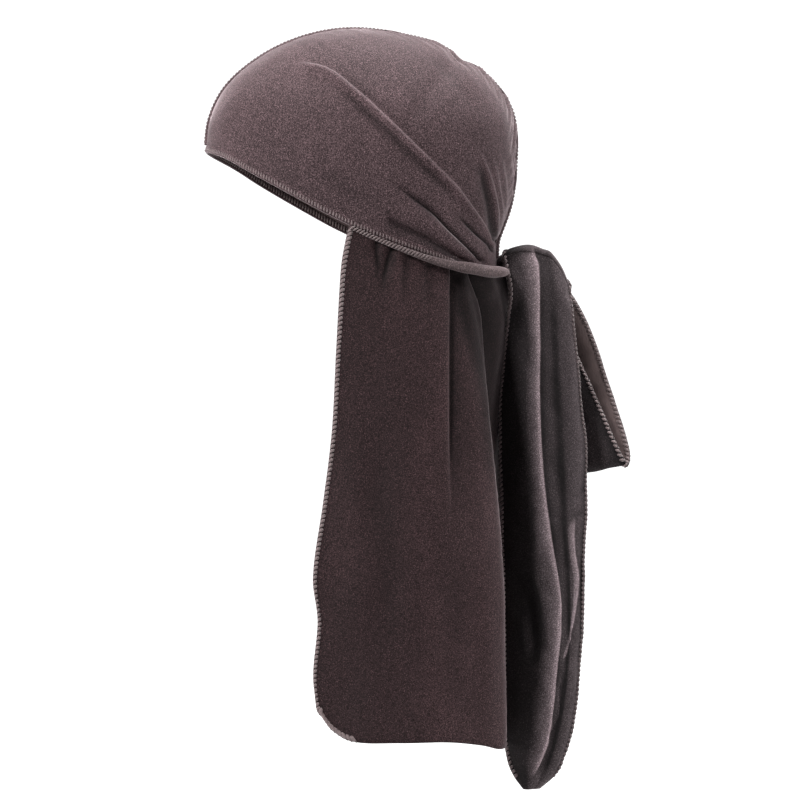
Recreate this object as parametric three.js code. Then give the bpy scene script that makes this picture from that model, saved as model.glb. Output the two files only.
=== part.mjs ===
import * as THREE from 'three';

// A velvet durag, tied as it is worn. Millimetres, +Z up, the wearer faces -Y and the wearer's left is +X.
// The origin is the middle of the head hollow, level with the temples.

// Crown
const CROWN_LENGTH = 205;
const CROWN_HEIGHT = 205;
const CROWN_WIDTH = 154;
const SIDE_ROUNDNESS = 2.3;
const FRONT_ANGLE = 167;
const CLOTH = 1.6;
const GAP = 0.3;

// Nape gather, where the crown's folds run together
const SEAM_LOW_ANGLE = -15;
const GATHER_TOP_ANGLE = -24;
const NAPE_ANGLE = -33;

// Centre seam and front hem
const SEAM_WIDTH = 4.2;
const SEAM_RISE = 1.8;
const SEAM_SHOULDER = 0.4;
const SEAM_CREST = 0.5;
const HEM_HEIGHT = 3.6;
const HEM_THICKNESS = 2.4;
const HEM_SAG = 11;
const HEM_START = 0.13;

// Rolled ties and their knot
const BAND_DIAMETER = 7.4;
const BAND_CLEARANCE = 1.8;
const BAND_TUCK = 2;
const KNOT_DEPTH = 25;
const KNOT_HEIGHT = 27;
const KNOT_WIDTH = 20;
const KNOT_WRAPS = 3;
const KNOT_WRAP_RELIEF = 0.07;
const KNOT_WRAP_SLANT = 4;

// Neck flap
const FLAP_DROP = 319;
const FLAP_DEPTH = 96;
const FLAP_FLARE = 22.5;
const FLAP_SWELL = 7;
const FLAP_SPAN = 152;
const FLAP_PLEAT = 3;
const FLAP_BUNCHING = 1.15;

// Hanging tail and bow loop
const TAIL_DROP = 346;
const TAIL_WIDTH = 56;
const TAIL_FOLD = 15;
const LOOP_DROP = 134;
const LOOP_REACH = 64;
const LOOP_SPREAD = 17;
const LOOP_WAVE = 2;
const LOOP_WAVES = 1.5;

// Colours
const VELVET = 0x4a3f42;
const VELVET_EDGE = 0x6b5f62;

const HEAD = new THREE.Vector3(CROWN_WIDTH / 2, CROWN_LENGTH / 2, CROWN_HEIGHT / 2);
const SEAM_HALF = SEAM_WIDTH / 2;
const INNER_SIDE = SEAM_HALF + GAP;
// The crown's front corner, just above the hem strip.
const CORNER_ANGLE = FRONT_ANGLE - THREE.MathUtils.radToDeg((HEM_HEIGHT + 2 * GAP) / HEAD.y);

// The crown's profile: how far the centre line lies from the origin, by its angle from the back over the top,
// as a share of half the crown's length and height.
const PROFILE = [
  { angle: -120, reach: 0.94 },
  { angle: -90, reach: 0.98 },
  { angle: -60, reach: 1.03 },
  { angle: -42, reach: 1.0 },
  { angle: -33, reach: 0.944 },
  { angle: -27, reach: 0.883 },
  { angle: -20, reach: 0.852 },
  { angle: -4, reach: 0.88 },
  { angle: 9, reach: 0.912 },
  { angle: 18, reach: 0.952 },
  { angle: 30, reach: 1.008 },
  { angle: 47, reach: 1.01 },
  { angle: 56, reach: 0.974 },
  { angle: 62, reach: 0.995 },
  { angle: 79, reach: 0.982 },
  { angle: 98, reach: 1.007 },
  { angle: 116, reach: 1.04 },
  { angle: 131, reach: 1.072 },
  { angle: 145, reach: 1.1 },
  { angle: 156, reach: 1.088 },
  { angle: 167, reach: 1.05 },
  { angle: 185, reach: 1.05 },
  { angle: 210, reach: 1.04 },
  { angle: 240, reach: 0.94 },
];

// The hem's dip under the straight line from nape to forehead, as a share of HEM_SAG.
const HEM_DIP = [
  { along: 0, dip: 0 },
  { along: 0.06, dip: 0.45 },
  { along: 0.2, dip: 0.82 },
  { along: 0.4, dip: 1 },
  { along: 0.53, dip: 0.92 },
  { along: 0.64, dip: 0.72 },
  { along: 0.82, dip: 0.32 },
  { along: 0.92, dip: 0.05 },
  { along: 1, dip: 0 },
];

// The bow of the crown's rays out of a straight line, as a share of each ray's length.
const RAY_BOW = [
  { ray: 0, bow: 0 },
  { ray: 0.24, bow: 0.055 },
  { ray: 0.5, bow: 0.05 },
  { ray: 0.75, bow: 0.02 },
  { ray: 0.9, bow: 0 },
  { ray: 1, bow: 0 },
];

// Folds that run out of the nape gather: the ray that each follows, its depth and half width, and the stretch
// of the ray that it takes. Depth is a share of CLOTH, and a minus sign is a ridge.
const CROWN_FOLDS = [
  { ray: 0.066, depth: 1.5, width: 0.035, from: 0, to: 0.5 },
  { ray: 0.115, depth: -0.7, width: 0.025, from: 0.05, to: 0.5 },
  { ray: 0.165, depth: 1.9, width: 0.024, from: 0, to: 0.56 },
  { ray: 0.222, depth: 1.5, width: 0.022, from: 0, to: 1 },
  { ray: 0.258, depth: -0.8, width: 0.022, from: 0, to: 1 },
  { ray: 0.37, depth: 0.9, width: 0.035, from: 0.02, to: 0.5 },
  { ray: 0.52, depth: 0.9, width: 0.035, from: 0.05, to: 0.6 },
  { ray: 0.68, depth: 0.7, width: 0.04, from: 0.15, to: 0.8 },
];

// How many rays each stretch of the fan has.
const RAY_ZONES = [
  { upTo: 0.2, rays: 9 },
  { upTo: 0.28, rays: 6 },
  { upTo: 1, rays: 12 },
];
const RAY_STEPS = 16;

// The rolled tie along the hem line: its thickness as a share of BAND_DIAMETER, and how far its middle hangs
// under the hem line, in radii.
const BAND_ROLL = [
  { along: 0, thick: 1, hang: 0 },
  { along: 0.11, thick: 0.97, hang: 0 },
  { along: 0.2, thick: 0.65, hang: 0.7 },
  { along: 0.35, thick: 0.38, hang: 1.2 },
  { along: 0.475, thick: 0.24, hang: 1.3 },
];

// The flap from its front edge round to the centre back. along is the place on the hem line that each stretch
// is gathered to, pinch draws it in to the middle, and back and side lay it out at the bottom, as shares of
// FLAP_DEPTH and half of FLAP_SPAN. length is its share of FLAP_DROP.
const FLAP_PLAN = [
  { across: 0, along: 0.475, pinch: 1, back: 0, side: 0.94, length: 0.935 },
  { across: 0.05, along: 0.445, pinch: 1, back: 0.09, side: 0.96, length: 0.975 },
  { across: 0.12, along: 0.405, pinch: 1, back: 0.21, side: 0.98, length: 0.997 },
  { across: 0.3, along: 0.32, pinch: 1, back: 0.46, side: 1, length: 1.0 },
  { across: 0.48, along: 0.235, pinch: 1, back: 0.69, side: 0.94, length: 1.0 },
  { across: 0.62, along: 0.17, pinch: 1, back: 0.87, side: 0.8, length: 1.01 },
  { across: 0.7, along: 0.135, pinch: 1, back: 0.96, side: 0.68, length: 1.02 },
  { across: 0.76, along: 0.11, pinch: 1, back: 1.0, side: 0.56, length: 1.02 },
  { across: 0.81, along: 0.08, pinch: 1, back: 0.985, side: 0.44, length: 1.02 },
  { across: 0.88, along: 0.04, pinch: 1, back: 0.94, side: 0.28, length: 1.015 },
  { across: 0.94, along: 0.011, pinch: 1, back: 0.92, side: 0.14, length: 1.01 },
  { across: 0.97, along: 0.003, pinch: 0.8, back: 0.915, side: 0.07, length: 1.01 },
  { across: 1, along: 0, pinch: 0, back: 0.915, side: 0, length: 1.01 },
];

// How far the front edge has swung forward on its way down, as a share of FLAP_FLARE, and how far the middle of
// the back stands out there, as a share of FLAP_SWELL.
const FLAP_SWING = [
  { down: 0, swing: 0, swell: 0 },
  { down: 0.03, swing: 0.1, swell: 0.15 },
  { down: 0.08, swing: 0.22, swell: 0.9 },
  { down: 0.14, swing: 0.28, swell: 1 },
  { down: 0.25, swing: 0.36, swell: 0.5 },
  { down: 0.42, swing: 0.48, swell: 0.1 },
  { down: 0.58, swing: 0.74, swell: 0 },
  { down: 0.73, swing: 1, swell: 0 },
  { down: 0.82, swing: 0.88, swell: 0 },
  { down: 0.93, swing: 1, swell: 0 },
  { down: 1, swing: 0.92, swell: 0 },
];

// The flap's pleats, with depth and half width, fading out at the given share of the drop. Depth is a share of
// FLAP_PLEAT, and a minus sign is a ridge.
const FLAP_PLEATS = [
  { across: 0.13, depth: 0.5, width: 0.03, fade: 0.16 },
  { across: 0.22, depth: 0.6, width: 0.035, fade: 0.2 },
  { across: 0.36, depth: 0.45, width: 0.05, fade: 0.5 },
  { across: 0.535, depth: -0.5, width: 0.03, fade: 0.5 },
  { across: 0.585, depth: 0.9, width: 0.025, fade: 0.5 },
  { across: 0.66, depth: 0.5, width: 0.03, fade: 0.9 },
  { across: 0.9, depth: 0.7, width: 0.04, fade: 0.8 },
];
const FLAP_COLUMNS = 40;
const FLAP_ROWS = 16;

// The tail from knot to tip: its left edge, main ridge and right edge as shares of TAIL_WIDTH behind the nape.
// out is how far it stands out to the side in TAIL_FOLDs, fold is how deep its folds are there, and turn is how
// far its left edge turns out and its right edge in.
const TAIL_FALL = [
  { down: 0, left: 0.14, ridge: 0.36, right: 0.82, out: 0.56, fold: 0.1, turn: 0 },
  { down: 0.02, left: 0.16, ridge: 0.42, right: 0.83, out: 0.8, fold: 0.2, turn: 0 },
  { down: 0.07, left: 0.17, ridge: 0.47, right: 0.86, out: 1.2, fold: 0.35, turn: 0.1 },
  { down: 0.12, left: 0.14, ridge: 0.48, right: 0.89, out: 1.0, fold: 0.6, turn: 0.2 },
  { down: 0.2, left: 0.07, ridge: 0.48, right: 0.94, out: 0.7, fold: 0.9, turn: 0.3 },
  { down: 0.3, left: 0.03, ridge: 0.49, right: 1.0, out: 0.55, fold: 1, turn: 0.4 },
  { down: 0.4, left: 0.035, ridge: 0.53, right: 1.02, out: 0.5, fold: 1, turn: 0.5 },
  { down: 0.5, left: 0.045, ridge: 0.6, right: 1.005, out: 0.5, fold: 0.9, turn: 0.6 },
  { down: 0.62, left: 0.06, ridge: 0.69, right: 0.985, out: 0.5, fold: 0.8, turn: 0.65 },
  { down: 0.72, left: 0.07, ridge: 0.72, right: 0.96, out: 0.5, fold: 0.75, turn: 0.7 },
  { down: 0.8, left: 0.07, ridge: 0.68, right: 0.92, out: 0.5, fold: 0.7, turn: 0.7 },
  { down: 0.88, left: 0.07, ridge: 0.6, right: 0.86, out: 0.5, fold: 0.65, turn: 0.6 },
  { down: 0.95, left: 0.13, ridge: 0.48, right: 0.75, out: 0.5, fold: 0.5, turn: 0.4 },
  { down: 0.98, left: 0.21, ridge: 0.42, right: 0.64, out: 0.5, fold: 0.35, turn: 0.3 },
  { down: 1, left: 0.3, ridge: 0.38, right: 0.48, out: 0.5, fold: 0.2, turn: 0.2 },
];

// The tail's cross section: back runs 0 at the left edge, 1 at the ridge and 2 at the right edge, side is the
// fold out of its plane in TAIL_FOLDs, and top is how far its upper edge dips, as a share of TAIL_DROP.
const TAIL_SECTION = [
  { across: 0, back: 0, side: 0, top: 0.012 },
  { across: 0.14, back: 0.26, side: -0.5, top: 0.004 },
  { across: 0.3, back: 0.66, side: -0.15, top: 0 },
  { across: 0.42, back: 1, side: 0.5, top: 0.004 },
  { across: 0.55, back: 1.27, side: -0.2, top: 0.007 },
  { across: 0.72, back: 1.5, side: 0.3, top: 0.013 },
  { across: 0.87, back: 1.8, side: 0.25, top: 0.04 },
  { across: 1, back: 2, side: -0.15, top: 0.072 },
];
const TAIL_COLUMNS = 16;
const TAIL_ROWS = 24;

// The bow loop along its path, knot to bottom fold and back to the knot: outer and inner edge as shares of
// LOOP_REACH behind and LOOP_DROP below the knot, and out in LOOP_SPREADs to the wearer's right.
const LOOP_PATH = [
  { along: 0, outerBack: -0.02, outerDown: 0.0, innerBack: -0.12, innerDown: 0.08, out: 0.66 },
  { along: 0.1, outerBack: 0.31, outerDown: 0.06, innerBack: -0.05, innerDown: 0.18, out: 1.0 },
  { along: 0.22, outerBack: 0.57, outerDown: 0.24, innerBack: 0.02, innerDown: 0.38, out: 1.3 },
  { along: 0.34, outerBack: 0.79, outerDown: 0.53, innerBack: 0.09, innerDown: 0.64, out: 1.5 },
  { along: 0.45, outerBack: 1.0, outerDown: 0.85, innerBack: 0.18, innerDown: 0.94, out: 1.5 },
  { along: 0.5, outerBack: 0.99, outerDown: 0.925, innerBack: 0.24, innerDown: 1.0, out: 1.22 },
  { along: 0.55, outerBack: 0.91, outerDown: 0.88, innerBack: 0.2, innerDown: 0.95, out: 0.95 },
  { along: 0.68, outerBack: 0.68, outerDown: 0.63, innerBack: 0.09, innerDown: 0.68, out: 0.85 },
  { along: 0.8, outerBack: 0.53, outerDown: 0.47, innerBack: 0.03, innerDown: 0.46, out: 0.8 },
  { along: 0.92, outerBack: 0.28, outerDown: 0.22, innerBack: -0.03, innerDown: 0.3, out: 0.72 },
  { along: 1, outerBack: 0.04, outerDown: 0.13, innerBack: -0.1, innerDown: 0.2, out: 0.62 },
];
const LOOP_COLUMNS = 8;
const LOOP_ROWS = 30;

// A smooth curve through one column of a table, read at a value of its first column.
function follow(table, key, column, value) {
  const last = table.length - 1;
  const at = Math.min(Math.max(value, table[0][key]), table[last][key]);
  let row = 0;
  while (row < last - 1 && table[row + 1][key] < at) row += 1;
  const slope = (i) => {
    const before = table[Math.max(i - 1, 0)];
    const after = table[Math.min(i + 1, last)];
    return (after[column] - before[column]) / (after[key] - before[key]);
  };
  const span = table[row + 1][key] - table[row][key];
  const t = (at - table[row][key]) / span;
  const rise = t * t * (3 - 2 * t);
  const start = t * (1 - t) * (1 - t) * span * slope(row);
  const end = t * t * (1 - t) * span * slope(row + 1);
  return table[row][column] * (1 - rise) + table[row + 1][column] * rise + start - end;
}

// A value that eases from 0 to 1 between two limits.
function ease(value, from, to) {
  const t = Math.min(Math.max((value - from) / (to - from), 0), 1);
  return t * t * (3 - 2 * t);
}

// Adds the two faces of a quad.
function quad(faces, a, b, c, d) {
  faces.push(a, b, c, a, c, d);
}

// A closed body from its corners and faces, turned so that its faces point out.
function closedBody(name, colour, corners, faces) {
  const geometry = new THREE.BufferGeometry();
  let volume = 0;
  for (let i = 0; i < faces.length; i += 3) {
    const [a, b, c] = [corners[faces[i]], corners[faces[i + 1]], corners[faces[i + 2]]];
    volume += a.dot(new THREE.Vector3().crossVectors(b, c));
  }
  const turned = volume < 0 ? [...faces].reverse() : faces;
  geometry.setAttribute('position', new THREE.Float32BufferAttribute(corners.flatMap((p) => p.toArray()), 3));
  geometry.setIndex(turned);
  geometry.computeVertexNormals();
  const material = new THREE.MeshStandardMaterial({ color: colour, roughness: 0.85, metalness: 0 });
  const mesh = new THREE.Mesh(geometry, material);
  mesh.name = name;
  return mesh;
}

// The directions square to a grid of points, from the lines to its neighbours.
function gridNormals(grid) {
  return grid.map((line, i) => line.map((point, j) => {
    const across = new THREE.Vector3().subVectors(
      grid[Math.min(i + 1, grid.length - 1)][j], grid[Math.max(i - 1, 0)][j]);
    const down = new THREE.Vector3().subVectors(
      line[Math.min(j + 1, line.length - 1)], line[Math.max(j - 1, 0)]);
    return new THREE.Vector3().crossVectors(across, down).normalize();
  }));
}

// A wall of cloth: the grid's surface, and a second one the cloth's thickness behind it.
// facing is 1 or -1, and picks the side of the grid that the wall grows to.
// leastSide keeps the second surface that far from the middle plane.
function clothWall(name, colour, grid, facing, thickness, leastSide = 0) {
  const normals = gridNormals(grid);
  const columns = grid.length;
  const rows = grid[0].length;
  const front = grid.flat();
  const turned = normals.flat();
  const back = front.map((point, i) => {
    const behindIt = point.clone().addScaledVector(turned[i], facing * thickness);
    if (leastSide > 0) behindIt.x = Math.sign(point.x) * Math.max(leastSide, Math.abs(behindIt.x));
    return behindIt;
  });
  const corners = [...front, ...back];
  const faces = [];
  const at = (i, j) => i * rows + j;
  const behind = (i, j) => front.length + at(i, j);
  for (let i = 0; i < columns - 1; i += 1) {
    for (let j = 0; j < rows - 1; j += 1) {
      quad(faces, at(i, j), at(i + 1, j), at(i + 1, j + 1), at(i, j + 1));
      quad(faces, behind(i, j), behind(i, j + 1), behind(i + 1, j + 1), behind(i + 1, j));
    }
    quad(faces, at(i + 1, 0), at(i, 0), behind(i, 0), behind(i + 1, 0));
    quad(faces, at(i, rows - 1), at(i + 1, rows - 1), behind(i + 1, rows - 1), behind(i, rows - 1));
  }
  for (let j = 0; j < rows - 1; j += 1) {
    quad(faces, at(0, j), at(0, j + 1), behind(0, j + 1), behind(0, j));
    quad(faces, at(columns - 1, j + 1), at(columns - 1, j), behind(columns - 1, j), behind(columns - 1, j + 1));
  }
  return closedBody(name, colour, corners, faces);
}

// A body lofted through closed rings with as many points each, with a flat cap at both ends.
function loft(name, colour, rings) {
  const sides = rings[0].length;
  const corners = rings.flat();
  const faces = [];
  for (let i = 0; i < rings.length - 1; i += 1) {
    for (let j = 0; j < sides; j += 1) {
      const next = (j + 1) % sides;
      quad(faces, i * sides + j, (i + 1) * sides + j, (i + 1) * sides + next, i * sides + next);
    }
  }
  const end = (rings.length - 1) * sides;
  for (let j = 1; j < sides - 1; j += 1) {
    faces.push(0, j, j + 1);
    faces.push(end, end + j + 1, end + j);
  }
  return closedBody(name, colour, corners, faces);
}

// A point of the crown's profile plane, from an angle and a share of the reach there.
function profilePoint(angle, share) {
  const reach = follow(PROFILE, 'angle', 'reach', angle) * share;
  const turn = THREE.MathUtils.degToRad(angle);
  return new THREE.Vector2(Math.cos(turn) * reach * HEAD.y, Math.sin(turn) * reach * HEAD.z);
}

// How far a place in the profile plane lies from the origin, as a share of the reach there, to the power that
// rounds the head's sides.
function roundShare(back, up) {
  const b = back / HEAD.y;
  const u = up / HEAD.z;
  let angle = THREE.MathUtils.radToDeg(Math.atan2(u, b));
  if (angle < PROFILE[0].angle) angle += 360;
  return (Math.hypot(b, u) / follow(PROFILE, 'angle', 'reach', angle)) ** SIDE_ROUNDNESS;
}

// Half the head's width at a place in the profile plane: the full width in its middle, none at the profile.
function headSide(back, up) {
  return INNER_SIDE + (HEAD.x - INNER_SIDE) * Math.sqrt(1 - Math.min(1, roundShare(back, up)));
}

// The direction out of the head at a point of its surface, from the slopes of (x / width)^2 + roundShare.
function outOfHead(point) {
  const width = HEAD.x - INNER_SIDE;
  const step = 0.5;
  return new THREE.Vector3(
    (2 * (point.x - INNER_SIDE)) / width ** 2,
    (roundShare(point.y + step, point.z) - roundShare(point.y - step, point.z)) / (2 * step),
    (roundShare(point.y, point.z + step) - roundShare(point.y, point.z - step)) / (2 * step)).normalize();
}

// The centre seam runs down to the rolled ties.
const SEAM_END_ANGLE = NAPE_ANGLE + THREE.MathUtils.radToDeg((BAND_DIAMETER / 2 + GAP) / HEAD.y);
const NAPE = profilePoint(NAPE_ANGLE, 1);
const FOREHEAD = profilePoint(FRONT_ANGLE, 1);

// The hem line in the profile plane, 0 at the nape and 1 at the forehead.
function hemLine(along) {
  const line = new THREE.Vector2().subVectors(FOREHEAD, NAPE);
  const down = new THREE.Vector2(-line.y, line.x).normalize();
  const dip = HEM_SAG * follow(HEM_DIP, 'along', 'dip', along);
  return NAPE.clone().addScaledVector(line, along).addScaledVector(down, dip);
}

// A point on the left side of the head over a place in the profile plane, lifted off it by a length.
function onHead(place, lift) {
  const point = new THREE.Vector3(headSide(place.x, place.y), place.x, place.y);
  return point.addScaledVector(outOfHead(point), lift);
}

// The height of the front hem's strip at a place on the hem line: it runs out behind the ear.
function stripHeight(along) {
  return HEM_HEIGHT * ease(along, 0.05, 0.25);
}

// How far the crown's edge stays over the hem line: by the strip in front, and a little behind the rolled tie.
function edgeLift(along) {
  return Math.max(stripHeight(along) + 2 * GAP, BAND_TUCK * (1 - ease(along, 0.05, 0.3)));
}

// The crown's left half at a ray of the fan and a share of that ray.
function crownPoint(ray, share) {
  const start = profilePoint(THREE.MathUtils.lerp(NAPE_ANGLE, GATHER_TOP_ANGLE, ray), 1);
  const end = profilePoint(THREE.MathUtils.lerp(CORNER_ANGLE, SEAM_LOW_ANGLE, ray), 1);
  const line = new THREE.Vector2().subVectors(end, start);
  const up = new THREE.Vector2(line.y, -line.x).normalize();
  const bow = line.length() * follow(RAY_BOW, 'ray', 'bow', ray) * 4 * share * (1 - share);
  const hem = edgeLift(share) - edgeLift(1) * share - HEM_SAG * follow(HEM_DIP, 'along', 'dip', share);
  const lift = THREE.MathUtils.lerp(hem, bow, ease(ray, 0, 0.22));
  const place = start.addScaledVector(line, share).addScaledVector(up, lift);
  place.lerp(seamSidePlace(ray, share), ease(ray, 0.5, 0.9));
  return onHead(place, -foldDepth(ray, share));
}

// A ray's place near the centre seam, where the profile is hollow: a chord of the unit circle laid out on the
// profile, so that it stays inside it. The last ray lies on the profile itself.
function seamSidePlace(ray, share) {
  const onCircle = (angle) => {
    const turn = THREE.MathUtils.degToRad(angle);
    return new THREE.Vector2(Math.cos(turn), Math.sin(turn));
  };
  const start = onCircle(THREE.MathUtils.lerp(NAPE_ANGLE, GATHER_TOP_ANGLE, ray));
  const end = onCircle(THREE.MathUtils.lerp(CORNER_ANGLE, SEAM_LOW_ANGLE, ray));
  const chord = start.lerp(end, share);
  const angle = THREE.MathUtils.radToDeg(Math.atan2(chord.y, chord.x));
  return profilePoint(angle, THREE.MathUtils.lerp(chord.length(), 1, ease(ray, 0.9, 1)));
}

// How far the folds press the crown in at a ray and a share of it.
function foldDepth(ray, share) {
  return CLOTH * CROWN_FOLDS.reduce((sum, fold) => {
    const shape = Math.exp(-(((ray - fold.ray) / fold.width) ** 2));
    const fadeIn = ease(share, fold.from, fold.from + 0.2);
    const fadeOut = fold.to < 1 ? 1 - ease(share, fold.to * 0.5, fold.to) : 1 - 0.5 * ease(share, 0.5, 1);
    return sum + fold.depth * shape * fadeIn * fadeOut;
  }, 0);
}

function mirrored(grid, side) {
  return grid.map((line) => line.map((point) => new THREE.Vector3(point.x * side, point.y, point.z)));
}

function crownHalf(name, side) {
  const grid = [];
  let from = 0;
  for (const zone of RAY_ZONES) {
    for (let i = 0; i < zone.rays; i += 1) {
      grid.push(crownRay(THREE.MathUtils.lerp(from, zone.upTo, i / zone.rays)));
    }
    from = zone.upTo;
  }
  grid.push(crownRay(1));
  return clothWall(name, VELVET, mirrored(grid, side), side, CLOTH, INNER_SIDE);
}

function crownRay(ray) {
  const points = [];
  for (let step = 0; step <= RAY_STEPS; step += 1) {
    points.push(crownPoint(ray, (1 - Math.cos((Math.PI * step) / RAY_STEPS)) / 2));
  }
  return points;
}

// The raised seam, a rounded bar along the profile from forehead to nape.
function centreSeam() {
  const stations = 40;
  const rings = [];
  for (let i = 0; i <= stations; i += 1) {
    const angle = THREE.MathUtils.lerp(CORNER_ANGLE, SEAM_END_ANGLE, i / stations);
    const inner = profilePoint(angle, 1);
    const out = inner.clone().normalize();
    const ring = [
      [-SEAM_HALF, -CLOTH],
      [SEAM_HALF, -CLOTH],
      [SEAM_HALF, SEAM_RISE * SEAM_SHOULDER],
      [SEAM_HALF * SEAM_CREST, SEAM_RISE],
      [-SEAM_HALF * SEAM_CREST, SEAM_RISE],
      [-SEAM_HALF, SEAM_RISE * SEAM_SHOULDER],
    ];
    rings.push(ring.map(([side, lift]) => {
      const place = inner.clone().addScaledVector(out, lift);
      return new THREE.Vector3(side, place.x, place.y);
    }));
  }
  return loft('centre_seam', VELVET_EDGE, rings);
}

// The hem strip, from behind one ear over the forehead to behind the other.
function frontHem() {
  const stations = 22;
  const proud = (HEM_THICKNESS - CLOTH) / 2;
  const half = [];
  for (let i = 0; i <= stations; i += 1) {
    const along = 1 - (1 - HEM_START) * (i / stations) ** 2;
    const low = hemLine(along);
    const line = new THREE.Vector2().subVectors(FOREHEAD, NAPE);
    const up = new THREE.Vector2(-line.y, line.x).normalize().multiplyScalar(-stripHeight(along));
    const high = low.clone().add(up);
    half.push([onHead(low, proud), onHead(high, proud), onHead(high, proud - HEM_THICKNESS),
      onHead(low, proud - HEM_THICKNESS)]);
  }
  const left = half.slice(1).reverse();
  const middle = half[0].map((point) => new THREE.Vector3(0, point.y, point.z));
  const right = half.slice(1).map((ring) => ring.map((point) => new THREE.Vector3(-point.x, point.y, point.z)));
  return loft('front_hem', VELVET_EDGE, [...left, middle, ...right]);
}

// One tie, rolled into a band, from the ear to the knot.
function tieBand(name, side) {
  const stations = 24;
  const sides = 8;
  const rings = [];
  const first = BAND_ROLL[BAND_ROLL.length - 1].along;
  for (let i = 0; i <= stations; i += 1) {
    const along = first * (1 - Math.sin((Math.PI * i) / (2 * stations)));
    const radius = (BAND_DIAMETER / 2) * follow(BAND_ROLL, 'along', 'thick', along);
    const place = hemLine(along);
    place.y -= radius * follow(BAND_ROLL, 'along', 'hang', along);
    const seat = onHead(place, 0);
    const out = outOfHead(seat);
    const middle = seat.clone().addScaledVector(out, radius + BAND_CLEARANCE);
    if (i === stations) middle.x = GAP / 2;
    const run = new THREE.Vector3().subVectors(onHead(hemLine(along), 0), onHead(hemLine(along + 0.01), 0));
    const up = new THREE.Vector3().crossVectors(out, run).normalize();
    const ring = [];
    for (let j = 0; j < sides; j += 1) {
      const turn = (2 * Math.PI * j) / sides;
      const corner = middle.clone().addScaledVector(out, Math.cos(turn) * radius);
      ring.push(corner.addScaledVector(up, Math.sin(turn) * radius));
    }
    rings.push(ring.map((point) => new THREE.Vector3(point.x * side, point.y, point.z)));
  }
  return loft(name, VELVET_EDGE, rings);
}

// The flap at a place across its left half and a share of its way down.
function flapPoint(across, down) {
  const read = (column) => follow(FLAP_PLAN, 'across', column, across);
  const along = read('along');
  const edge = hemLine(along);
  edge.y += (BAND_TUCK - GAP) * (1 - ease(along, 0.7 * HEM_START, HEM_START)) - GAP;
  const seat = onHead(edge, 0);
  const top = new THREE.Vector3(seat.x * read('pinch'), seat.y, seat.z);
  const ear = hemLine(FLAP_PLAN[0].along);
  const frontShare = 1 - ease(across, 0, 0.75);
  const swing = FLAP_FLARE * follow(FLAP_SWING, 'down', 'swing', down) * frontShare;
  const low = new THREE.Vector3((FLAP_SPAN / 2) * read('side'), ear.x + FLAP_DEPTH * read('back'), 0);
  const spread = ease(down, 0, 0.34) * 0.7 + ease(down, 0.1, 0.9) * 0.3;
  const point = new THREE.Vector3().lerpVectors(top, low, spread);
  const bottom = ear.y - FLAP_DROP * read('length');
  point.z = THREE.MathUtils.lerp(top.z, bottom, down);
  point.y += FLAP_SWELL * follow(FLAP_SWING, 'down', 'swell', down) * ease(across, 0.8, 1) - swing;
  return point;
}

function neckFlap() {
  const grid = [];
  for (let i = 0; i <= FLAP_COLUMNS; i += 1) {
    const signed = (2 * i) / FLAP_COLUMNS - 1;
    const side = signed < 0 ? 1 : -1;
    const across = 1 - Math.abs(signed);
    const line = [];
    for (let j = 0; j <= FLAP_ROWS; j += 1) {
      const down = (j / FLAP_ROWS) ** FLAP_BUNCHING;
      const point = flapPoint(across, down);
      line.push(new THREE.Vector3(point.x * side, point.y, point.z));
    }
    grid.push(line);
  }
  const normals = gridNormals(grid);
  const pleated = grid.map((line, i) => line.map((point, j) => {
    const across = 1 - Math.abs((2 * i) / FLAP_COLUMNS - 1);
    const down = (j / FLAP_ROWS) ** FLAP_BUNCHING;
    const press = FLAP_PLEAT * FLAP_PLEATS.reduce((sum, pleat) => {
      const shape = Math.exp(-(((across - pleat.across) / pleat.width) ** 2));
      return sum + pleat.depth * shape * ease(down, 0, 0.04) * (1 - ease(down, pleat.fade * 0.4, pleat.fade));
    }, 0);
    return point.clone().addScaledVector(normals[i][j], press);
  }));
  return clothWall('neck_flap', VELVET, pleated, 1, CLOTH);
}

// The knot's middle: its front lies just behind the rolled ties where they meet.
const KNOT = new THREE.Vector3(
  0,
  NAPE.x + BAND_CLEARANCE + BAND_DIAMETER + GAP + KNOT_DEPTH / 2,
  NAPE.y + KNOT_HEIGHT * 0.05);

// The wrapped knot: a rounded body with a waist, where the tie passes over itself.
function knot() {
  const stations = 12;
  const sides = 14;
  const rings = [];
  for (let i = 0; i <= stations; i += 1) {
    const turn = (Math.PI * (i + 0.35)) / (stations + 0.7);
    const along = -Math.cos(turn);
    const swell = Math.sin(turn) ** 0.7;
    const ring = [];
    for (let j = 0; j < sides; j += 1) {
      const angle = (2 * Math.PI * j) / sides;
      const wrap = 1 + KNOT_WRAP_RELIEF * Math.cos(KNOT_WRAPS * angle + KNOT_WRAP_SLANT * along);
      ring.push(new THREE.Vector3(
        KNOT.x + (KNOT_WIDTH / 2) * swell * wrap * Math.cos(angle),
        KNOT.y + (KNOT_DEPTH / 2) * along,
        KNOT.z + (KNOT_HEIGHT / 2) * swell * wrap * Math.sin(angle)));
    }
    rings.push(ring);
  }
  return loft('knot', VELVET_EDGE, rings);
}

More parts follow.
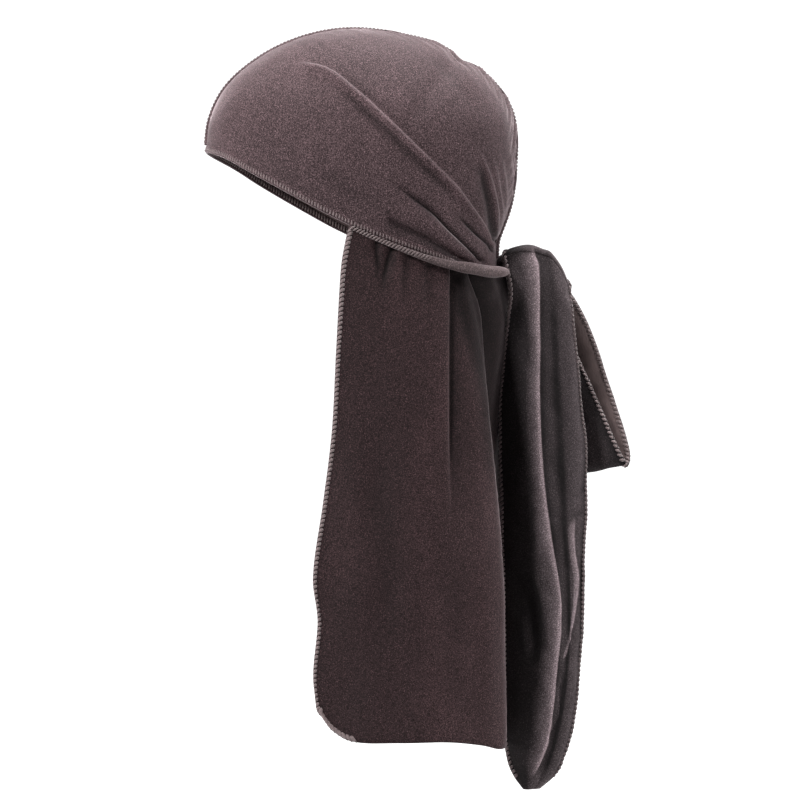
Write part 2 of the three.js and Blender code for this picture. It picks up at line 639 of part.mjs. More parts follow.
// The tail at a place across it and a share of its way down.
function tailPoint(across, down) {
  const read = (column) => follow(TAIL_FALL, 'down', column, down);
  const shape = (column) => follow(TAIL_SECTION, 'across', column, across);
  const back = shape('back');
  const share = back < 1
    ? THREE.MathUtils.lerp(read('left'), read('ridge'), back)
    : THREE.MathUtils.lerp(read('ridge'), read('right'), back - 1);
  const topEdge = KNOT.z + KNOT_HEIGHT / 2 + CLOTH + GAP - TAIL_DROP * shape('top');
  const tip = KNOT.z + KNOT_HEIGHT / 2 + CLOTH + GAP - TAIL_DROP;
  return new THREE.Vector3(
    KNOT.x + TAIL_FOLD * (read('out') + read('fold') * shape('side') + read('turn') * (1 - back)),
    NAPE.x + TAIL_WIDTH * share,
    THREE.MathUtils.lerp(topEdge, tip, down));
}

function longTail() {
  const grid = [];
  for (let i = 0; i <= TAIL_COLUMNS; i += 1) {
    const line = [];
    for (let j = 0; j <= TAIL_ROWS; j += 1) line.push(tailPoint(i / TAIL_COLUMNS, j / TAIL_ROWS));
    grid.push(line);
  }
  return clothWall('long_tail', VELVET, grid, 1, CLOTH);
}

// The bow loop, one strap that runs out of the knot, turns at its bottom fold and comes back.
function bowLoop() {
  const grid = [];
  for (let i = 0; i <= LOOP_ROWS; i += 1) {
    const along = i / LOOP_ROWS;
    const read = (column) => follow(LOOP_PATH, 'along', column, along);
    const line = [];
    for (let j = 0; j <= LOOP_COLUMNS; j += 1) {
      const across = j / LOOP_COLUMNS;
      const wave = LOOP_WAVE * Math.sin(across * Math.PI * 2 * LOOP_WAVES) * Math.sin(Math.PI * along);
      line.push(new THREE.Vector3(
        KNOT.x - LOOP_SPREAD * read('out') + wave,
        KNOT.y + LOOP_REACH * THREE.MathUtils.lerp(read('innerBack'), read('outerBack'), across),
        KNOT.z - LOOP_DROP * THREE.MathUtils.lerp(read('innerDown'), read('outerDown'), across)));
    }
    grid.push(line);
  }
  return clothWall('bow_loop', VELVET, grid, 1, CLOTH);
}

const durag = new THREE.Group();
durag.add(
  crownHalf('crown_left', 1),
  crownHalf('crown_right', -1),
  centreSeam(),
  frontHem(),
  neckFlap(),
  tieBand('left_tie_band', 1),
  tieBand('right_tie_band', -1),
  knot(),
  longTail(),
  bowLoop(),
);

export default durag;
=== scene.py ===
"""A velvet durag in its worn form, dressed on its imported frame: fine folds, velvet pile, knit back
and overlock stitches. Metres, +Z up, the wearer faces -Y and the wearer's left is +X.
"""

from math import radians

import bpy
import numpy as np
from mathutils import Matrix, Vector


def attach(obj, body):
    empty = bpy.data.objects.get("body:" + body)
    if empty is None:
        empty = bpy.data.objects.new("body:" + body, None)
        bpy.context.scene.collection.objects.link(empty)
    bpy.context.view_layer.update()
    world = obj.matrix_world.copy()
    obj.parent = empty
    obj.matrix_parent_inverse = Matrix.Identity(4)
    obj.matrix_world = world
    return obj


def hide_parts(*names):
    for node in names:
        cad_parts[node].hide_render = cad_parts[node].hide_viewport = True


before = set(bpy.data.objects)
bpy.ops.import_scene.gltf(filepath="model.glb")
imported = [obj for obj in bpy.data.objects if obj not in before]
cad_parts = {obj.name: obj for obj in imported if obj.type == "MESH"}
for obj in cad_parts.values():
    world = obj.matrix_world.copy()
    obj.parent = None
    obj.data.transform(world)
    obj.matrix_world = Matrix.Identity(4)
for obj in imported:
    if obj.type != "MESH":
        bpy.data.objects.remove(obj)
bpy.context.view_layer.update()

bl_info = {
    "name": "Velvet durag",
    "version": (1, 0, 0),
    "blender": (4, 5, 0),
    "location": "View3D > Sidebar > Durag",
    "description": "Builds a tied velvet durag with its seams, rolled ties, knot, tail and bow",
    "category": "Add Mesh",
}


def columns(names, *rows):
    """A short table: one named array for each column."""
    return dict(zip(names.split(), np.array(rows, float).T))


def creases(*rows):
    """A table of folds, its lengths turned from millimetres into metres."""
    names = "depth width step spread start end path".split()
    scale = (0.001, 0.001, 0.001, 0.001, 1, 1, 0.001)
    return [
        {name: np.array(value, float) * k for name, value, k in zip(names, row, scale)}
        for row in rows
    ]


# The crown's centre line: its distance from the origin by its angle from the back over the top, in
# degrees, as a share of half the crown's length and height.
PROFILE = columns(
    "angle reach",
    (-120, 0.94), (-90, 0.98), (-60, 1.03), (-42, 1.0), (-33, 0.944), (-27, 0.883), (-20, 0.852),
    (-4, 0.88), (9, 0.912), (18, 0.952), (30, 1.008), (47, 1.01), (56, 0.974), (62, 0.995),
    (79, 0.982), (98, 1.007), (116, 1.04), (131, 1.072), (145, 1.1), (156, 1.088), (167, 1.05),
    (185, 1.05), (210, 1.04), (240, 0.94),
)

# The hem's dip under the straight line from nape to forehead, as a share of the hem's sag.
HEM_DIP = columns(
    "along dip",
    (0, 0), (0.06, 0.45), (0.2, 0.82), (0.4, 1), (0.53, 0.92), (0.64, 0.72), (0.82, 0.32),
    (0.92, 0.05), (1, 0),
)

# The bow of the crown's rays out of a straight line, as a share of each ray's length.
RAY_BOW = columns("ray bow", (0, 0), (0.24, 0.055), (0.5, 0.05), (0.75, 0.02), (0.9, 0), (1, 0))

# How the mesh spends its columns on the rays: most of them where the folds lie.
RAY_SPACING = columns("column ray", (0, 0), (0.27, 0.2), (0.5, 0.3), (1, 1))

# Folds of the crown in the middle plane. depth is how deep a fold lies, minus for a ridge, and
# width how far it reaches. With a spread, the fold has two unlike sides: on the left of its path
# the cloth is up by the step, which fades over the spread, and on the right it is down by the
# depth, which fades over the width. start and end are the shares of its path over which it fades.
# The path is (back, up). All lengths are in millimetres.
# Each fold's hollow is painted in shade, and with a spread a highlight is painted on its crest.
CROWN_CREASES = creases(
    (1.0, 3.0, 3.2, 6.0, 0.04, 0.08,
     [(79.4, -41.1), (77.6, -36.1), (74.3, -29.6), (68.1, -20.5), (61.5, -12), (53.9, -2.6),
      (36.6, 14.2), (13.2, 36.9), (-7.9, 56.6), (-25.4, 70.6), (-45.7, 76.8)]),
    (1.6, 4.0, 0, 0, 0.3, 0.3,
     [(64.2, -24.4), (57.6, -15.9), (50, -6.5), (32.7, 10.3), (9.3, 33), (-11.8, 52.7),
      (-29.3, 66.7)]),
    (2.6, 1.8, 0, 0, 0.4, 0.05,
     [(7.5, 3.4), (22.3, -6.3), (37.7, -17.4), (43.5, -22.4), (49.2, -28.5), (55.1, -34),
      (60.9, -39.5), (66.9, -44.9), (72.9, -49.1)]),
    (-1.2, 5.0, 0, 0, 0.4, 0.05, [(8, -9), (22, -17), (37.7, -26.4), (55.1, -40), (68, -48.5)]),
    (1.8, 1.5, 0, 0, 0.35, 0.1,
     [(53.3, -19.6), (60.9, -26.2), (66.9, -31.6), (70.5, -34.1), (78.8, -41.9)]),
    (4.4, 8.0, 0.5, 3.0, 0.1, 0.04,
     [(10, -20), (21.7, -25.5), (37.7, -33), (46.4, -39), (55.1, -45), (62.2, -49)]),
    (1.0, 6.0, 0, 0, 0.4, 0.4, [(-45, 18), (-39.4, 14.2), (-16.5, -3.3), (0.7, -13.8), (16, -24)]),
    (0.8, 7.0, 0, 0, 0.4, 0.4, [(-75, 35), (-50, 0), (-20, -20), (10, -32)]),
    (2.0, 3.0, 0, 0, 0.4, 0.05,
     [(66, 20), (69.6, 9.5), (71.4, 0.8), (74.3, -10.8), (76.1, -22.6), (79, -36)]),
    (1.2, 1.4, 2.0, 3.5, 0.05, 0.3,
     [(81, -32.5), (80.5, -27.9), (80.4, -16.8), (78.6, -6.9), (75, 5.9), (70.8, 16.5),
      (66.1, 24.3)]),
    (0.8, 1.2, 1.3, 2.5, 0.05, 0.35,
     [(81.5, -32.1), (82.3, -24.8), (83.6, -16.4), (82.6, -7.6), (81, 1.9), (79.5, 9.8),
      (77.4, 18.8)]),
    (0.8, 1.2, 1.2, 2.2, 0.05, 0.35,
     [(82.2, -30.8), (84.7, -19.4), (86.2, -9.1), (86, 0.8), (84.6, 9.9), (81.9, 22.4)]),
    (0.5, 1.4, 0.8, 2.2, 0.05, 0.3,
     [(83.1, -29.6), (86.9, -18.6), (89.1, -9.4), (90.3, 1.8), (89.8, 13.2), (88.4, 24.4),
      (85.9, 35.7)]),
    (0.7, 4.0, 0, 0, 0.5, 0.5, [(30, 88), (52, 66), (66, 38)]),
    (-0.7, 5.0, 0, 0, 0.5, 0.5, [(38, 92), (62, 66), (74, 40)]),
)

# Folds of the neck flap's near half, from the bottom up, in the same terms; the other half has them
# shifted.
FLAP_CREASES = creases(
    (6.0, 9.0, -0.5, 3.0, 0.5, 0.02,
     [(49.6, -225), (49.8, -184.3), (49.8, -146.9), (50.4, -97), (51, -46)]),
    (-1.8, 3.2, 0, 0, 0.6, 0.02, [(69, -120), (65, -90), (60, -66), (57, -50)]),
    (9.0, 5.0, -0.8, 4.0, 0.3, 0.02,
     [(83, -225), (80.8, -183.1), (77.2, -146.3), (74.1, -104.4), (71.2, -76), (64.5, -57),
      (62, -46)]),
    (1.6, 2.2, 0, 0, 0.6, 0.02, [(4, -66), (5, -52), (4.2, -36)]),
    (1.8, 2.4, 0, 0, 0.6, 0.02, [(6, -74), (9, -58), (15, -38)]),
    (1.2, 2.6, 0, 0, 0.6, 0.02, [(20, -80), (21, -62), (24, -42)]),
    (-1.0, 3.0, 0, 0, 0.6, 0.02, [(14, -72), (17, -56), (20, -42)]),
    (1.1, 3.0, 0, 0, 0.6, 0.02, [(36, -90), (36, -70), (37, -46)]),
    (0.9, 9.0, 0, 0, 0.4, 0.4, [(6, -330), (10, -260), (4, -190), (8, -130)]),
    (-0.8, 11.0, 0, 0, 0.4, 0.4, [(30, -345), (26, -270), (30, -190), (26, -120)]),
    (1.0, 10.0, 0, 0, 0.4, 0.3, [(52, -350), (50, -290), (54, -220)]),
    (-0.8, 6.0, 0, 0, 0.3, 0.4, [(75, -352), (74, -290), (71, -230)]),
)

# Folds of the tail, from the tip up, in the same terms.
TAIL_CREASES = creases(
    (3.0, 6.0, -1.2, 8.0, 0.04, 0.02,
     [(101.8, -376.5), (110.1, -363.2), (115.8, -347.3), (117.1, -325.1), (119.6, -301.5),
      (122.2, -273.6), (122.2, -259.6), (117.7, -236.7), (113.9, -211.9), (111, -191.6),
      (108.8, -159.8), (107.9, -134.4), (107.9, -96.3), (107.9, -58.1), (106.9, -42.9),
      (103.1, -36.5)]),
    (2.0, 4.0, -0.8, 3.5, 0.1, 0.15,
     [(121.5, -306.6), (125.7, -294.9), (131.7, -269.8), (134.2, -247.6), (131.1, -231.6),
      (130.4, -213.2), (132.3, -205.6)]),
    (1.2, 2.0, -0.6, 1.5, 0.3, 0.3, [(112, -354), (120, -338), (121.5, -320), (123, -306)]),
    (2.0, 5.0, 0, 0, 0.4, 0.4, [(99, -240), (103, -275), (104, -310)]),
    (0.9, 2.2, 0, 0, 0.3, 0.1, [(114, -212), (124, -209.5), (137, -206)]),
    (0.5, 3.0, 0, 0, 0.3, 0.1, [(120, -192), (128, -196), (138, -190)]),
)

# How softly the two sides of a fold roll into each other, in metres.
CREASE_ROLL = 0.0006

# A fold's hollow is painted in shade, as dark as its depth over its width, times this, up to 1. A
# wider one than this, in metres, counts as this wide.
FOLD_SHADE_DARKNESS = 1.2
FOLD_SHADE_WIDTH = 0.0045

# Puckers beside the centre seam: their height in millimetres by the angle along the profile.
SEAM_PUCKER = columns(
    "angle height",
    (-15, 0.2), (0, 0.6), (20, 1.1), (45, 1.5), (62, 1.5), (80, 0.9), (95, 0.45), (115, 0.12),
    (150, 0.05), (167, 0),
)

# A stitch's way over an edge, from the cloth's front to its back: inward in reaches, out in lifts,
# its lean in slants, and how thick its thread puffs up; and its way over a raised seam, from one
# side to the other.
STITCH_OVER = columns(
    "inward out lean puff",
    (1, 0.6, 0, 0.5), (0.75, 1.15, 0.15, 1), (0.3, 1.15, 0.35, 1.1), (-0.1, 0, 0.55, 1.1),
    (0.3, -1.15, 0.75, 1.1), (0.8, -1.0, 1, 0.5),
)
STITCH_RIDGE = columns(
    "inward out lean puff",
    (-1, -0.4, 0, 0.5), (-0.75, 0.6, 0.2, 1), (-0.3, 1.0, 0.4, 1.1), (0.3, 1.0, 0.6, 1.1),
    (0.75, 0.6, 0.8, 1), (1, -0.4, 1, 0.5),
)

# The rolled tie along the hem line: its thickness as a share of the band's, and how far its middle
# hangs under the hem line, in radii.
BAND_ROLL = columns(
    "along thick hang",
    (0, 1, 0), (0.11, 0.97, 0), (0.2, 0.65, 0.7), (0.35, 0.38, 1.2), (0.475, 0.24, 1.3),
)

# The flap from its front edge round to the centre back: the place on the hem line that each stretch
# is gathered to, how far it is drawn in to the middle there, its place at the bottom as shares of
# the flap's depth and half its span, and its share of the drop.
FLAP_PLAN = columns(
    "across along pinch back side length",
    (0, 0.475, 1, 0, 0.94, 0.935),
    (0.05, 0.445, 1, 0.09, 0.96, 0.975),
    (0.12, 0.405, 1, 0.21, 0.98, 0.997),
    (0.3, 0.32, 1, 0.46, 1, 1.0),
    (0.48, 0.235, 1, 0.69, 0.94, 1.0),
    (0.62, 0.17, 1, 0.87, 0.8, 1.01),
    (0.7, 0.135, 1, 0.96, 0.68, 1.02),
    (0.76, 0.11, 1, 1.0, 0.56, 1.02),
    (0.81, 0.08, 1, 0.985, 0.44, 1.02),
    (0.88, 0.04, 1, 0.94, 0.28, 1.015),
    (0.94, 0.011, 1, 0.92, 0.14, 1.01),
    (0.97, 0.003, 0.8, 0.915, 0.07, 1.01),
    (1, 0, 0, 0.915, 0, 1.01),
)

# How far the flap's front edge has swung forward on its way down, and how far the middle of its
# back stands out.
FLAP_SWING = columns(
    "down swing swell",
    (0, 0, 0), (0.03, 0.1, 0.15), (0.08, 0.22, 0.9), (0.14, 0.28, 1), (0.25, 0.36, 0.5),
    (0.42, 0.48, 0.1), (0.58, 0.74, 0), (0.73, 1, 0), (0.82, 0.88, 0), (0.93, 1, 0), (1, 0.92, 0),
)

# The tail from knot to tip: its edges and ridge as shares of its width behind the nape, how far it
# stands out in folds to the side, how deep its folds are, and how far its left edge turns out.
TAIL_FALL = columns(
    "down left ridge right out fold turn",
    (0, 0.04, 0.36, 0.82, 0.76, 0.3, 0.5),
    (0.02, 0.07, 0.42, 0.83, 0.87, 0.32, 0.52),
    (0.07, 0.13, 0.47, 0.86, 1.0, 0.35, 0.45),
    (0.12, 0.11, 0.48, 0.89, 0.9, 0.6, 0.35),
    (0.2, 0.07, 0.48, 0.94, 0.7, 0.9, 0.2),
    (0.3, 0.03, 0.49, 1.0, 0.55, 1, 0.2),
    (0.4, 0.035, 0.53, 1.02, 0.5, 1, 0.2),
    (0.5, 0.045, 0.6, 1.005, 0.5, 0.9, 0.2),
    (0.62, 0.06, 0.69, 0.985, 0.5, 0.8, 0.2),
    (0.72, 0.07, 0.72, 0.96, 0.5, 0.75, 0.2),
    (0.8, 0.07, 0.68, 0.92, 0.5, 0.7, 0.2),
    (0.88, 0.07, 0.6, 0.86, 0.5, 0.65, 0.2),
    (0.95, 0.13, 0.48, 0.75, 0.5, 0.5, 0.2),
    (0.98, 0.21, 0.42, 0.64, 0.5, 0.35, 0.3),
    (1, 0.3, 0.38, 0.48, 0.5, 0.2, 0.2),
)

# The tail's cross section: back runs 0 at the left edge, 1 at the ridge and 2 at the right edge,
# side is the fold out of its plane, and top how far its upper edge dips, as a share of the drop.
TAIL_SECTION = columns(
    "across back side top",
    (0, 0, -0.6, 0.014),
    (0.14, 0.26, -0.2, 0.006),
    (0.28, 0.62, 0.25, 0.001),
    (0.42, 1, 0.35, 0.001),
    (0.58, 1.3, 0.22, 0.006),
    (0.72, 1.52, 0.25, 0.013),
    (0.87, 1.8, 0.02, 0.04),
    (1, 2, -0.4, 0.072),
)

# The end of the left tie on its way over the other into the knot, in millimetres from the knot's
# front.
CROSS_PATH = columns(
    "t side back up",
    (0, 5, -1, -3), (0.3, 3, -1.5, 3), (0.6, 0, 3, 7), (0.85, -1, 9, 8.5), (1, -1, 14, 6),
)

# The bow loop along its path, knot to bottom fold and back: outer and inner edge as shares of its
# reach behind and its drop below the knot, and out in spreads to the wearer's right.
LOOP_PATH = columns(
    "along outer_back outer_down inner_back inner_down out",
    (0, -0.02, 0.0, -0.12, 0.08, 0.66),
    (0.1, 0.31, 0.06, -0.05, 0.18, 1.0),
    (0.22, 0.57, 0.24, 0.02, 0.38, 1.3),
    (0.34, 0.79, 0.53, 0.09, 0.64, 1.5),
    (0.45, 1.0, 0.85, 0.18, 0.94, 1.5),
    (0.5, 0.99, 0.925, 0.24, 1.0, 1.22),
    (0.55, 0.91, 0.88, 0.2, 0.95, 0.95),
    (0.68, 0.68, 0.63, 0.09, 0.68, 0.85),
    (0.8, 0.53, 0.47, 0.03, 0.46, 0.8),
    (0.92, 0.28, 0.22, -0.03, 0.3, 0.72),
    (1, 0.04, 0.13, -0.1, 0.2, 0.62),
)


def number_of(name, description, default, **facts):
    """A number property."""
    return bpy.props.FloatProperty(name=name, description=description, default=default, **facts)


def length_of(name, description, default):
    """A length property in metres."""
    return number_of(name, description, default, unit="LENGTH", precision=4)


def angle_of(name, description, degrees):
    """An angle property, given in degrees."""
    return number_of(name, description, radians(degrees), subtype="ANGLE")


def power_of(name, description, watts):
    """A lamp's power."""
    return number_of(name, description, watts, unit="POWER")


def colour_of(name, description, default):
    """A linear colour property."""
    return bpy.props.FloatVectorProperty(
        name=name, description=description, default=default, subtype="COLOR", size=3, min=0, max=1)


class DuragSizes(bpy.types.PropertyGroup):
    """The sizes that the durag is cut and tied to."""

    crown_length: length_of("Crown length", "Forehead to back of the head", 0.205)
    crown_height: length_of("Crown height", "Twice the rise from temple level to the top", 0.205)
    crown_width: length_of("Crown width", "Across the ears", 0.154)
    side_roundness: number_of("Side roundness", "Power of the rounded sides: 2 is an ellipse", 2.3)
    front_angle: angle_of("Front angle", "Where the forehead hem lies on the profile", 167)
    seam_low_angle: angle_of("Seam low angle", "Where the fan's last ray meets the seam", -15)
    gather_top_angle: angle_of("Gather top angle", "Upper end of the nape gather", -24)
    nape_angle: angle_of("Nape angle", "Lower end of the nape gather", -33)
    cloth: length_of("Cloth", "Thickness of the velvet", 0.0016)
    gap: length_of("Gap", "Clearance kept between pieces", 0.0003)
    seam_width: length_of("Seam width", "Width of the raised centre seam", 0.0042)
    seam_rise: length_of("Seam rise", "Height of the raised centre seam", 0.0018)
    hem_height: length_of("Hem height", "Height of the overlocked front hem", 0.0036)
    hem_sag: length_of("Hem sag", "Sag of the hem under a straight line", 0.011)
    hem_start: number_of("Hem start", "Where the hem strip runs out, from nape to forehead", 0.13)
    band_diameter: length_of("Band diameter", "Thickness of the rolled tie at the nape", 0.0074)
    band_clearance: length_of("Band clearance", "Room between the rolled tie and the crown", 0.0018)
    band_tuck: length_of("Band tuck", "How far the crown's edge ends above the tie's middle", 0.002)
    knot_depth: length_of("Knot depth", "Front to back", 0.025)
    knot_height: length_of("Knot height", "Top to bottom", 0.027)
    knot_width: length_of("Knot width", "Side to side", 0.02)
    flap_drop: length_of("Flap drop", "Length of the neck flap", 0.319)
    flap_depth: length_of("Flap depth", "Front edge to back of the neck flap", 0.096)
    flap_flare: length_of("Flap flare", "How far the front edge swings forward", 0.0225)
    flap_swell: length_of("Flap swell", "How far the back stands out under the knot", 0.007)
    flap_span: length_of("Flap span", "Width of the neck flap round the neck", 0.152)
    tail_drop: length_of("Tail drop", "Length of the hanging tail", 0.346)
    tail_width: length_of("Tail width", "Folded width of the tail", 0.056)
    tail_fold: length_of("Tail fold", "Depth of the tail's folds", 0.015)
    loop_drop: length_of("Loop drop", "Length of the bow loop", 0.134)
    loop_reach: length_of("Loop reach", "How far the bow loop reaches back", 0.064)
    loop_spread: length_of("Loop spread", "How far the bow loop stands out", 0.017)
    stitch: length_of("Stitch", "Thread puff radius of the overlock", 0.00055)


class DuragLooks(bpy.types.PropertyGroup):
    """Colours of the cloth and thread, and the light."""

    crown_dark: colour_of("Crown dark", "Depths of the crown's pile", (0.0155, 0.0086, 0.0094))
    crown_light: colour_of("Crown light", "Pile tips of the crown", (0.109, 0.0695, 0.0755))
    # The flap's pile colours are the crown's velvet painted darker, as shade.
    flap_dark: colour_of("Flap dark", "Depths of the flap's pile", (0.0115, 0.0052, 0.0058))
    flap_light: colour_of("Flap light", "Pile tips of the flap", (0.073, 0.0405, 0.0435))
    # The tail's pile colours are the same velvet painted paler, as light, then darkened by its
    # painted facing shade.
    tail_dark: colour_of("Tail dark", "Depths of the tail's pile", (0.042, 0.0315, 0.034))
    tail_light: colour_of("Tail light", "Pile tips of the tail", (0.098, 0.077, 0.082))
    back: colour_of("Knit back", "Smooth wrong side of the velvet", (0.17, 0.122, 0.119))
    band: colour_of("Band", "Rolled tie, wrong side out", (0.14, 0.102, 0.104))
    thread: colour_of("Thread", "Overlock thread", (0.27, 0.205, 0.205))
    dark_thread: colour_of("Dark thread", "Overlock thread of seam and tail", (0.17, 0.125, 0.128))
    key_power: power_of("Key light", "Power of the top light", 54)
    front_power: power_of("Front light", "Power of the front light", 34)
    rim_power: power_of("Rim light", "Power of the lights at the sides", 11)
    fill: number_of("Fill", "Strength of the light all round", 0.005)


def follow(table, column, at):
    """A smooth curve through one column of a table, read at values of its first column. Between two
    rows it is the cubic whose slope at each row is that from the row before to the row after."""
    keys = next(iter(table.values()))
    values = table[column]
    at = np.clip(at, keys[0], keys[-1])
    row = np.clip(np.searchsorted(keys, at) - 1, 0, len(keys) - 2)
    places = np.arange(len(keys))
    before, after = np.maximum(places - 1, 0), np.minimum(places + 1, len(keys) - 1)
    slopes = (values[after] - values[before]) / (keys[after] - keys[before])
    span = keys[row + 1] - keys[row]
    t = (at - keys[row]) / span
    rise = t * t * (3 - 2 * t)
    bend = t * (1 - t) ** 2 * slopes[row] - t * t * (1 - t) * slopes[row + 1]
    return values[row] * (1 - rise) + values[row + 1] * rise + span * bend


def ease(value, start, end):
    """Eases from 0 to 1 between two limits: 3t^2 - 2t^3."""
    t = np.clip((value - start) / (end - start), 0, 1)
    return t * t * (3 - 2 * t)


def s_curve(value):
    """Goes from 0 to 1 about the value 0: 1 / (1 + e^-value)."""
    return 1 / (1 + np.exp(-np.clip(value, -40, 40)))


def blend(a, b, share):
    """A straight mix of a and b."""
    return a + (b - a) * share


def unit(vectors):
    """Vectors scaled to length 1."""
    return vectors / np.maximum(np.linalg.norm(vectors, axis=-1, keepdims=True), 1e-12)


def ripple(points, wavelength, seed, waves=7):
    """Smooth unevenness, mostly between -1 and 1: 1.6 times the mean of sine waves of about one
    wavelength in random directions."""
    dice = np.random.default_rng(seed)
    directions = unit(dice.normal(size=(waves, 3)))
    directions = directions * 2 * np.pi / (wavelength * dice.uniform(0.7, 1.5, (waves, 1)))
    phases = dice.uniform(0, 2 * np.pi, waves)
    return np.sin(points @ directions.T + phases).mean(axis=-1) * 1.6


def grid_normals(grid):
    """The direction square to a grid of points: the cross product of its slopes over columns and
    rows."""
    return unit(np.cross(np.gradient(grid, axis=0), np.gradient(grid, axis=1)))


def grid_faces(ids):
    """The quads of a grid of numbered points."""
    quads = np.stack([ids[:-1, :-1], ids[1:, :-1], ids[1:, 1:], ids[:-1, 1:]], axis=-1)
    return quads.reshape(-1, 4)


def make_piece(name, points, quads, materials, inner=None, caps=None):
    """A smooth mesh object from points, an array of quads and one of cap triangles. inner marks the
    quads that take the second material."""
    caps = np.zeros((0, 3), int) if caps is None else caps
    mesh = bpy.data.meshes.new(name)
    mesh.vertices.add(len(points))
    mesh.vertices.foreach_set("co", np.ascontiguousarray(points, np.float32).ravel())
    loops = np.concatenate([quads.ravel(), caps.ravel()])
    sizes = np.concatenate([np.full(len(quads), 4), np.full(len(caps), 3)])
    mesh.loops.add(len(loops))
    mesh.loops.foreach_set("vertex_index", loops.astype(np.int32))
    mesh.polygons.add(len(sizes))
    starts = np.concatenate([[0], np.cumsum(sizes)[:-1]])
    mesh.polygons.foreach_set("loop_start", starts.astype(np.int32))
    mesh.polygons.foreach_set("use_smooth", np.ones(len(sizes), bool))
    for material in materials:
        mesh.materials.append(material)
    if inner is not None:
        slots = np.concatenate([inner.astype(np.int32), np.zeros(len(caps), np.int32)])
        mesh.polygons.foreach_set("material_index", slots)
    mesh.update(calc_edges=True)
    mesh.validate()
    piece = bpy.data.objects.new(name, mesh)
    bpy.context.collection.objects.link(piece)
    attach(piece, "root")
    return piece


def cloth_wall(name, grid, thickness, materials, shade_and_gleam=None):
    """A sheet of cloth with a rounded rim. Its faces lie half the thickness either side of the grid
    along its normals, and a ring round the edge stands out by the rim's share of the thickness. It
    carries two attributes for painted light: how far its outside faces back on the wearer's left
    and forward on the right, between -1 and 1, so that cloth which faces the other way can be
    painted in shade; and the painted shade of each place by how deep in a fold it lies, below 0
    where a highlight is painted along a crest."""
    rim_share, facing_turn = 0.45, 0.004
    wide, long = grid.shape[:2]
    normals = grid_normals(grid)
    ids = np.arange(wide * long).reshape(wide, long)
    rim = np.concatenate([ids[:-1, 0], ids[-1, :-1], ids[:0:-1, -1], ids[0, :0:-1]])
    middle, flat = grid.reshape(-1, 3), normals.reshape(-1, 3)
    tangent = unit(np.roll(middle[rim], -1, 0) - np.roll(middle[rim], 1, 0))
    ring = middle[rim] + unit(np.cross(tangent, flat[rim])) * thickness * rim_share
    points = np.concatenate([middle + flat * thickness / 2, middle - flat * thickness / 2, ring])
    front = grid_faces(ids)
    behind = front[:, ::-1] + len(middle)
    here, ahead = np.arange(len(rim)), np.roll(np.arange(len(rim)), -1)
    edge = 2 * len(middle)
    upper = np.stack([rim[ahead], rim[here], edge + here, edge + ahead], axis=1)
    under = rim + len(middle)
    lower = np.stack([edge + ahead, edge + here, under[here], under[ahead]], axis=1)
    quads = np.concatenate([front, behind, upper, lower])
    inner = np.zeros(len(quads), bool)
    inner[len(front):2 * len(front)] = len(materials) > 1
    piece = make_piece(name, points, quads, materials, inner)
    # Painted shade by facing: how far the cloth faces back on the left and forward on the right.
    backward = flat[:, 1] * np.clip(middle[:, 0] / facing_turn, -1, 1)
    shade_and_gleam = np.zeros(len(middle)) if shade_and_gleam is None else shade_and_gleam.ravel()
    for title, values in (("facing_light", backward), ("shade_and_gleam", shade_and_gleam)):
        attribute = piece.data.attributes.new(title, "FLOAT", "POINT")
        values = np.concatenate([values, values, values[rim]]).astype(np.float32)
        attribute.data.foreach_set("value", values)
    return piece


def tube_faces(count, stations, sides, closed=False):
    """Quads and cap triangles of tubes whose rings are numbered tube by tube, ring by ring."""
    start = np.arange(count)[:, None, None] * stations * sides
    ring = np.arange(stations if closed else stations - 1)[None, :, None]
    side = np.arange(sides)[None, None, :]
    after, beside = (ring + 1) % stations, (side + 1) % sides
    quads = np.stack([
        start + ring * sides + side,
        start + ring * sides + beside,
        start + after * sides + beside,
        start + after * sides + side,
    ], axis=-1).reshape(-1, 4)
    if closed:
        return quads, np.zeros((0, 3), int)
    fan = np.arange(1, sides - 1)
    first = np.stack([np.zeros_like(fan), fan + 1, fan], axis=1)
    last = np.stack([np.zeros_like(fan), fan, fan + 1], axis=1) + (stations - 1) * sides
    caps = np.concatenate([first, last])[None] + np.arange(count)[:, None, None] * stations * sides
    return quads, caps.reshape(-1, 3)


def stitches(name, edge, inward, normals, path, material, pitch, reach, radius, lift, slant, flat):
    """Overlock stitches along an edge, one bent tube each. A stitch follows the path: its way
    inward from the edge in reaches, its way out of the cloth in lifts, and its lean along the edge
    in slants of one pitch. Its section is an oval, flat times as wide as it is thick."""
    walked = np.concatenate([[0], np.cumsum(np.linalg.norm(np.diff(edge, axis=0), axis=1))])
    count = max(int(walked[-1] / pitch), 2)
    stops = (np.arange(count) + 0.3) * walked[-1] / count
    pick = lambda rows: np.stack([np.interp(stops, walked, part) for part in rows.T], axis=1)
    place, into, out = pick(edge), unit(pick(inward)), unit(pick(normals))
    run = unit(pick(np.gradient(edge, axis=0)))
    step = np.stack([
        place + into * reach * into_share + out * lift * out_share + run * pitch * slant * lean
        for into_share, out_share, lean in zip(path["inward"], path["out"], path["lean"])
    ], axis=1)
    ahead = unit(np.gradient(step, axis=1))
    across = unit(run[:, None] - ahead * (ahead * run[:, None]).sum(-1, keepdims=True))
    up = np.cross(ahead, across)
    sides = 6
    turn = np.arange(sides) * 2 * np.pi / sides
    puff = radius * path["puff"][None, :, None, None]
    ring = across[:, :, None] * (np.cos(turn)[:, None] * flat)
    ring = ring + up[:, :, None] * np.sin(turn)[:, None]
    points = (step[:, :, None] + ring * puff).reshape(-1, 3)
    quads, caps = tube_faces(count, step.shape[1], sides)
    piece = make_piece(name, points, quads[:, ::-1], [material], caps=caps[:, ::-1])


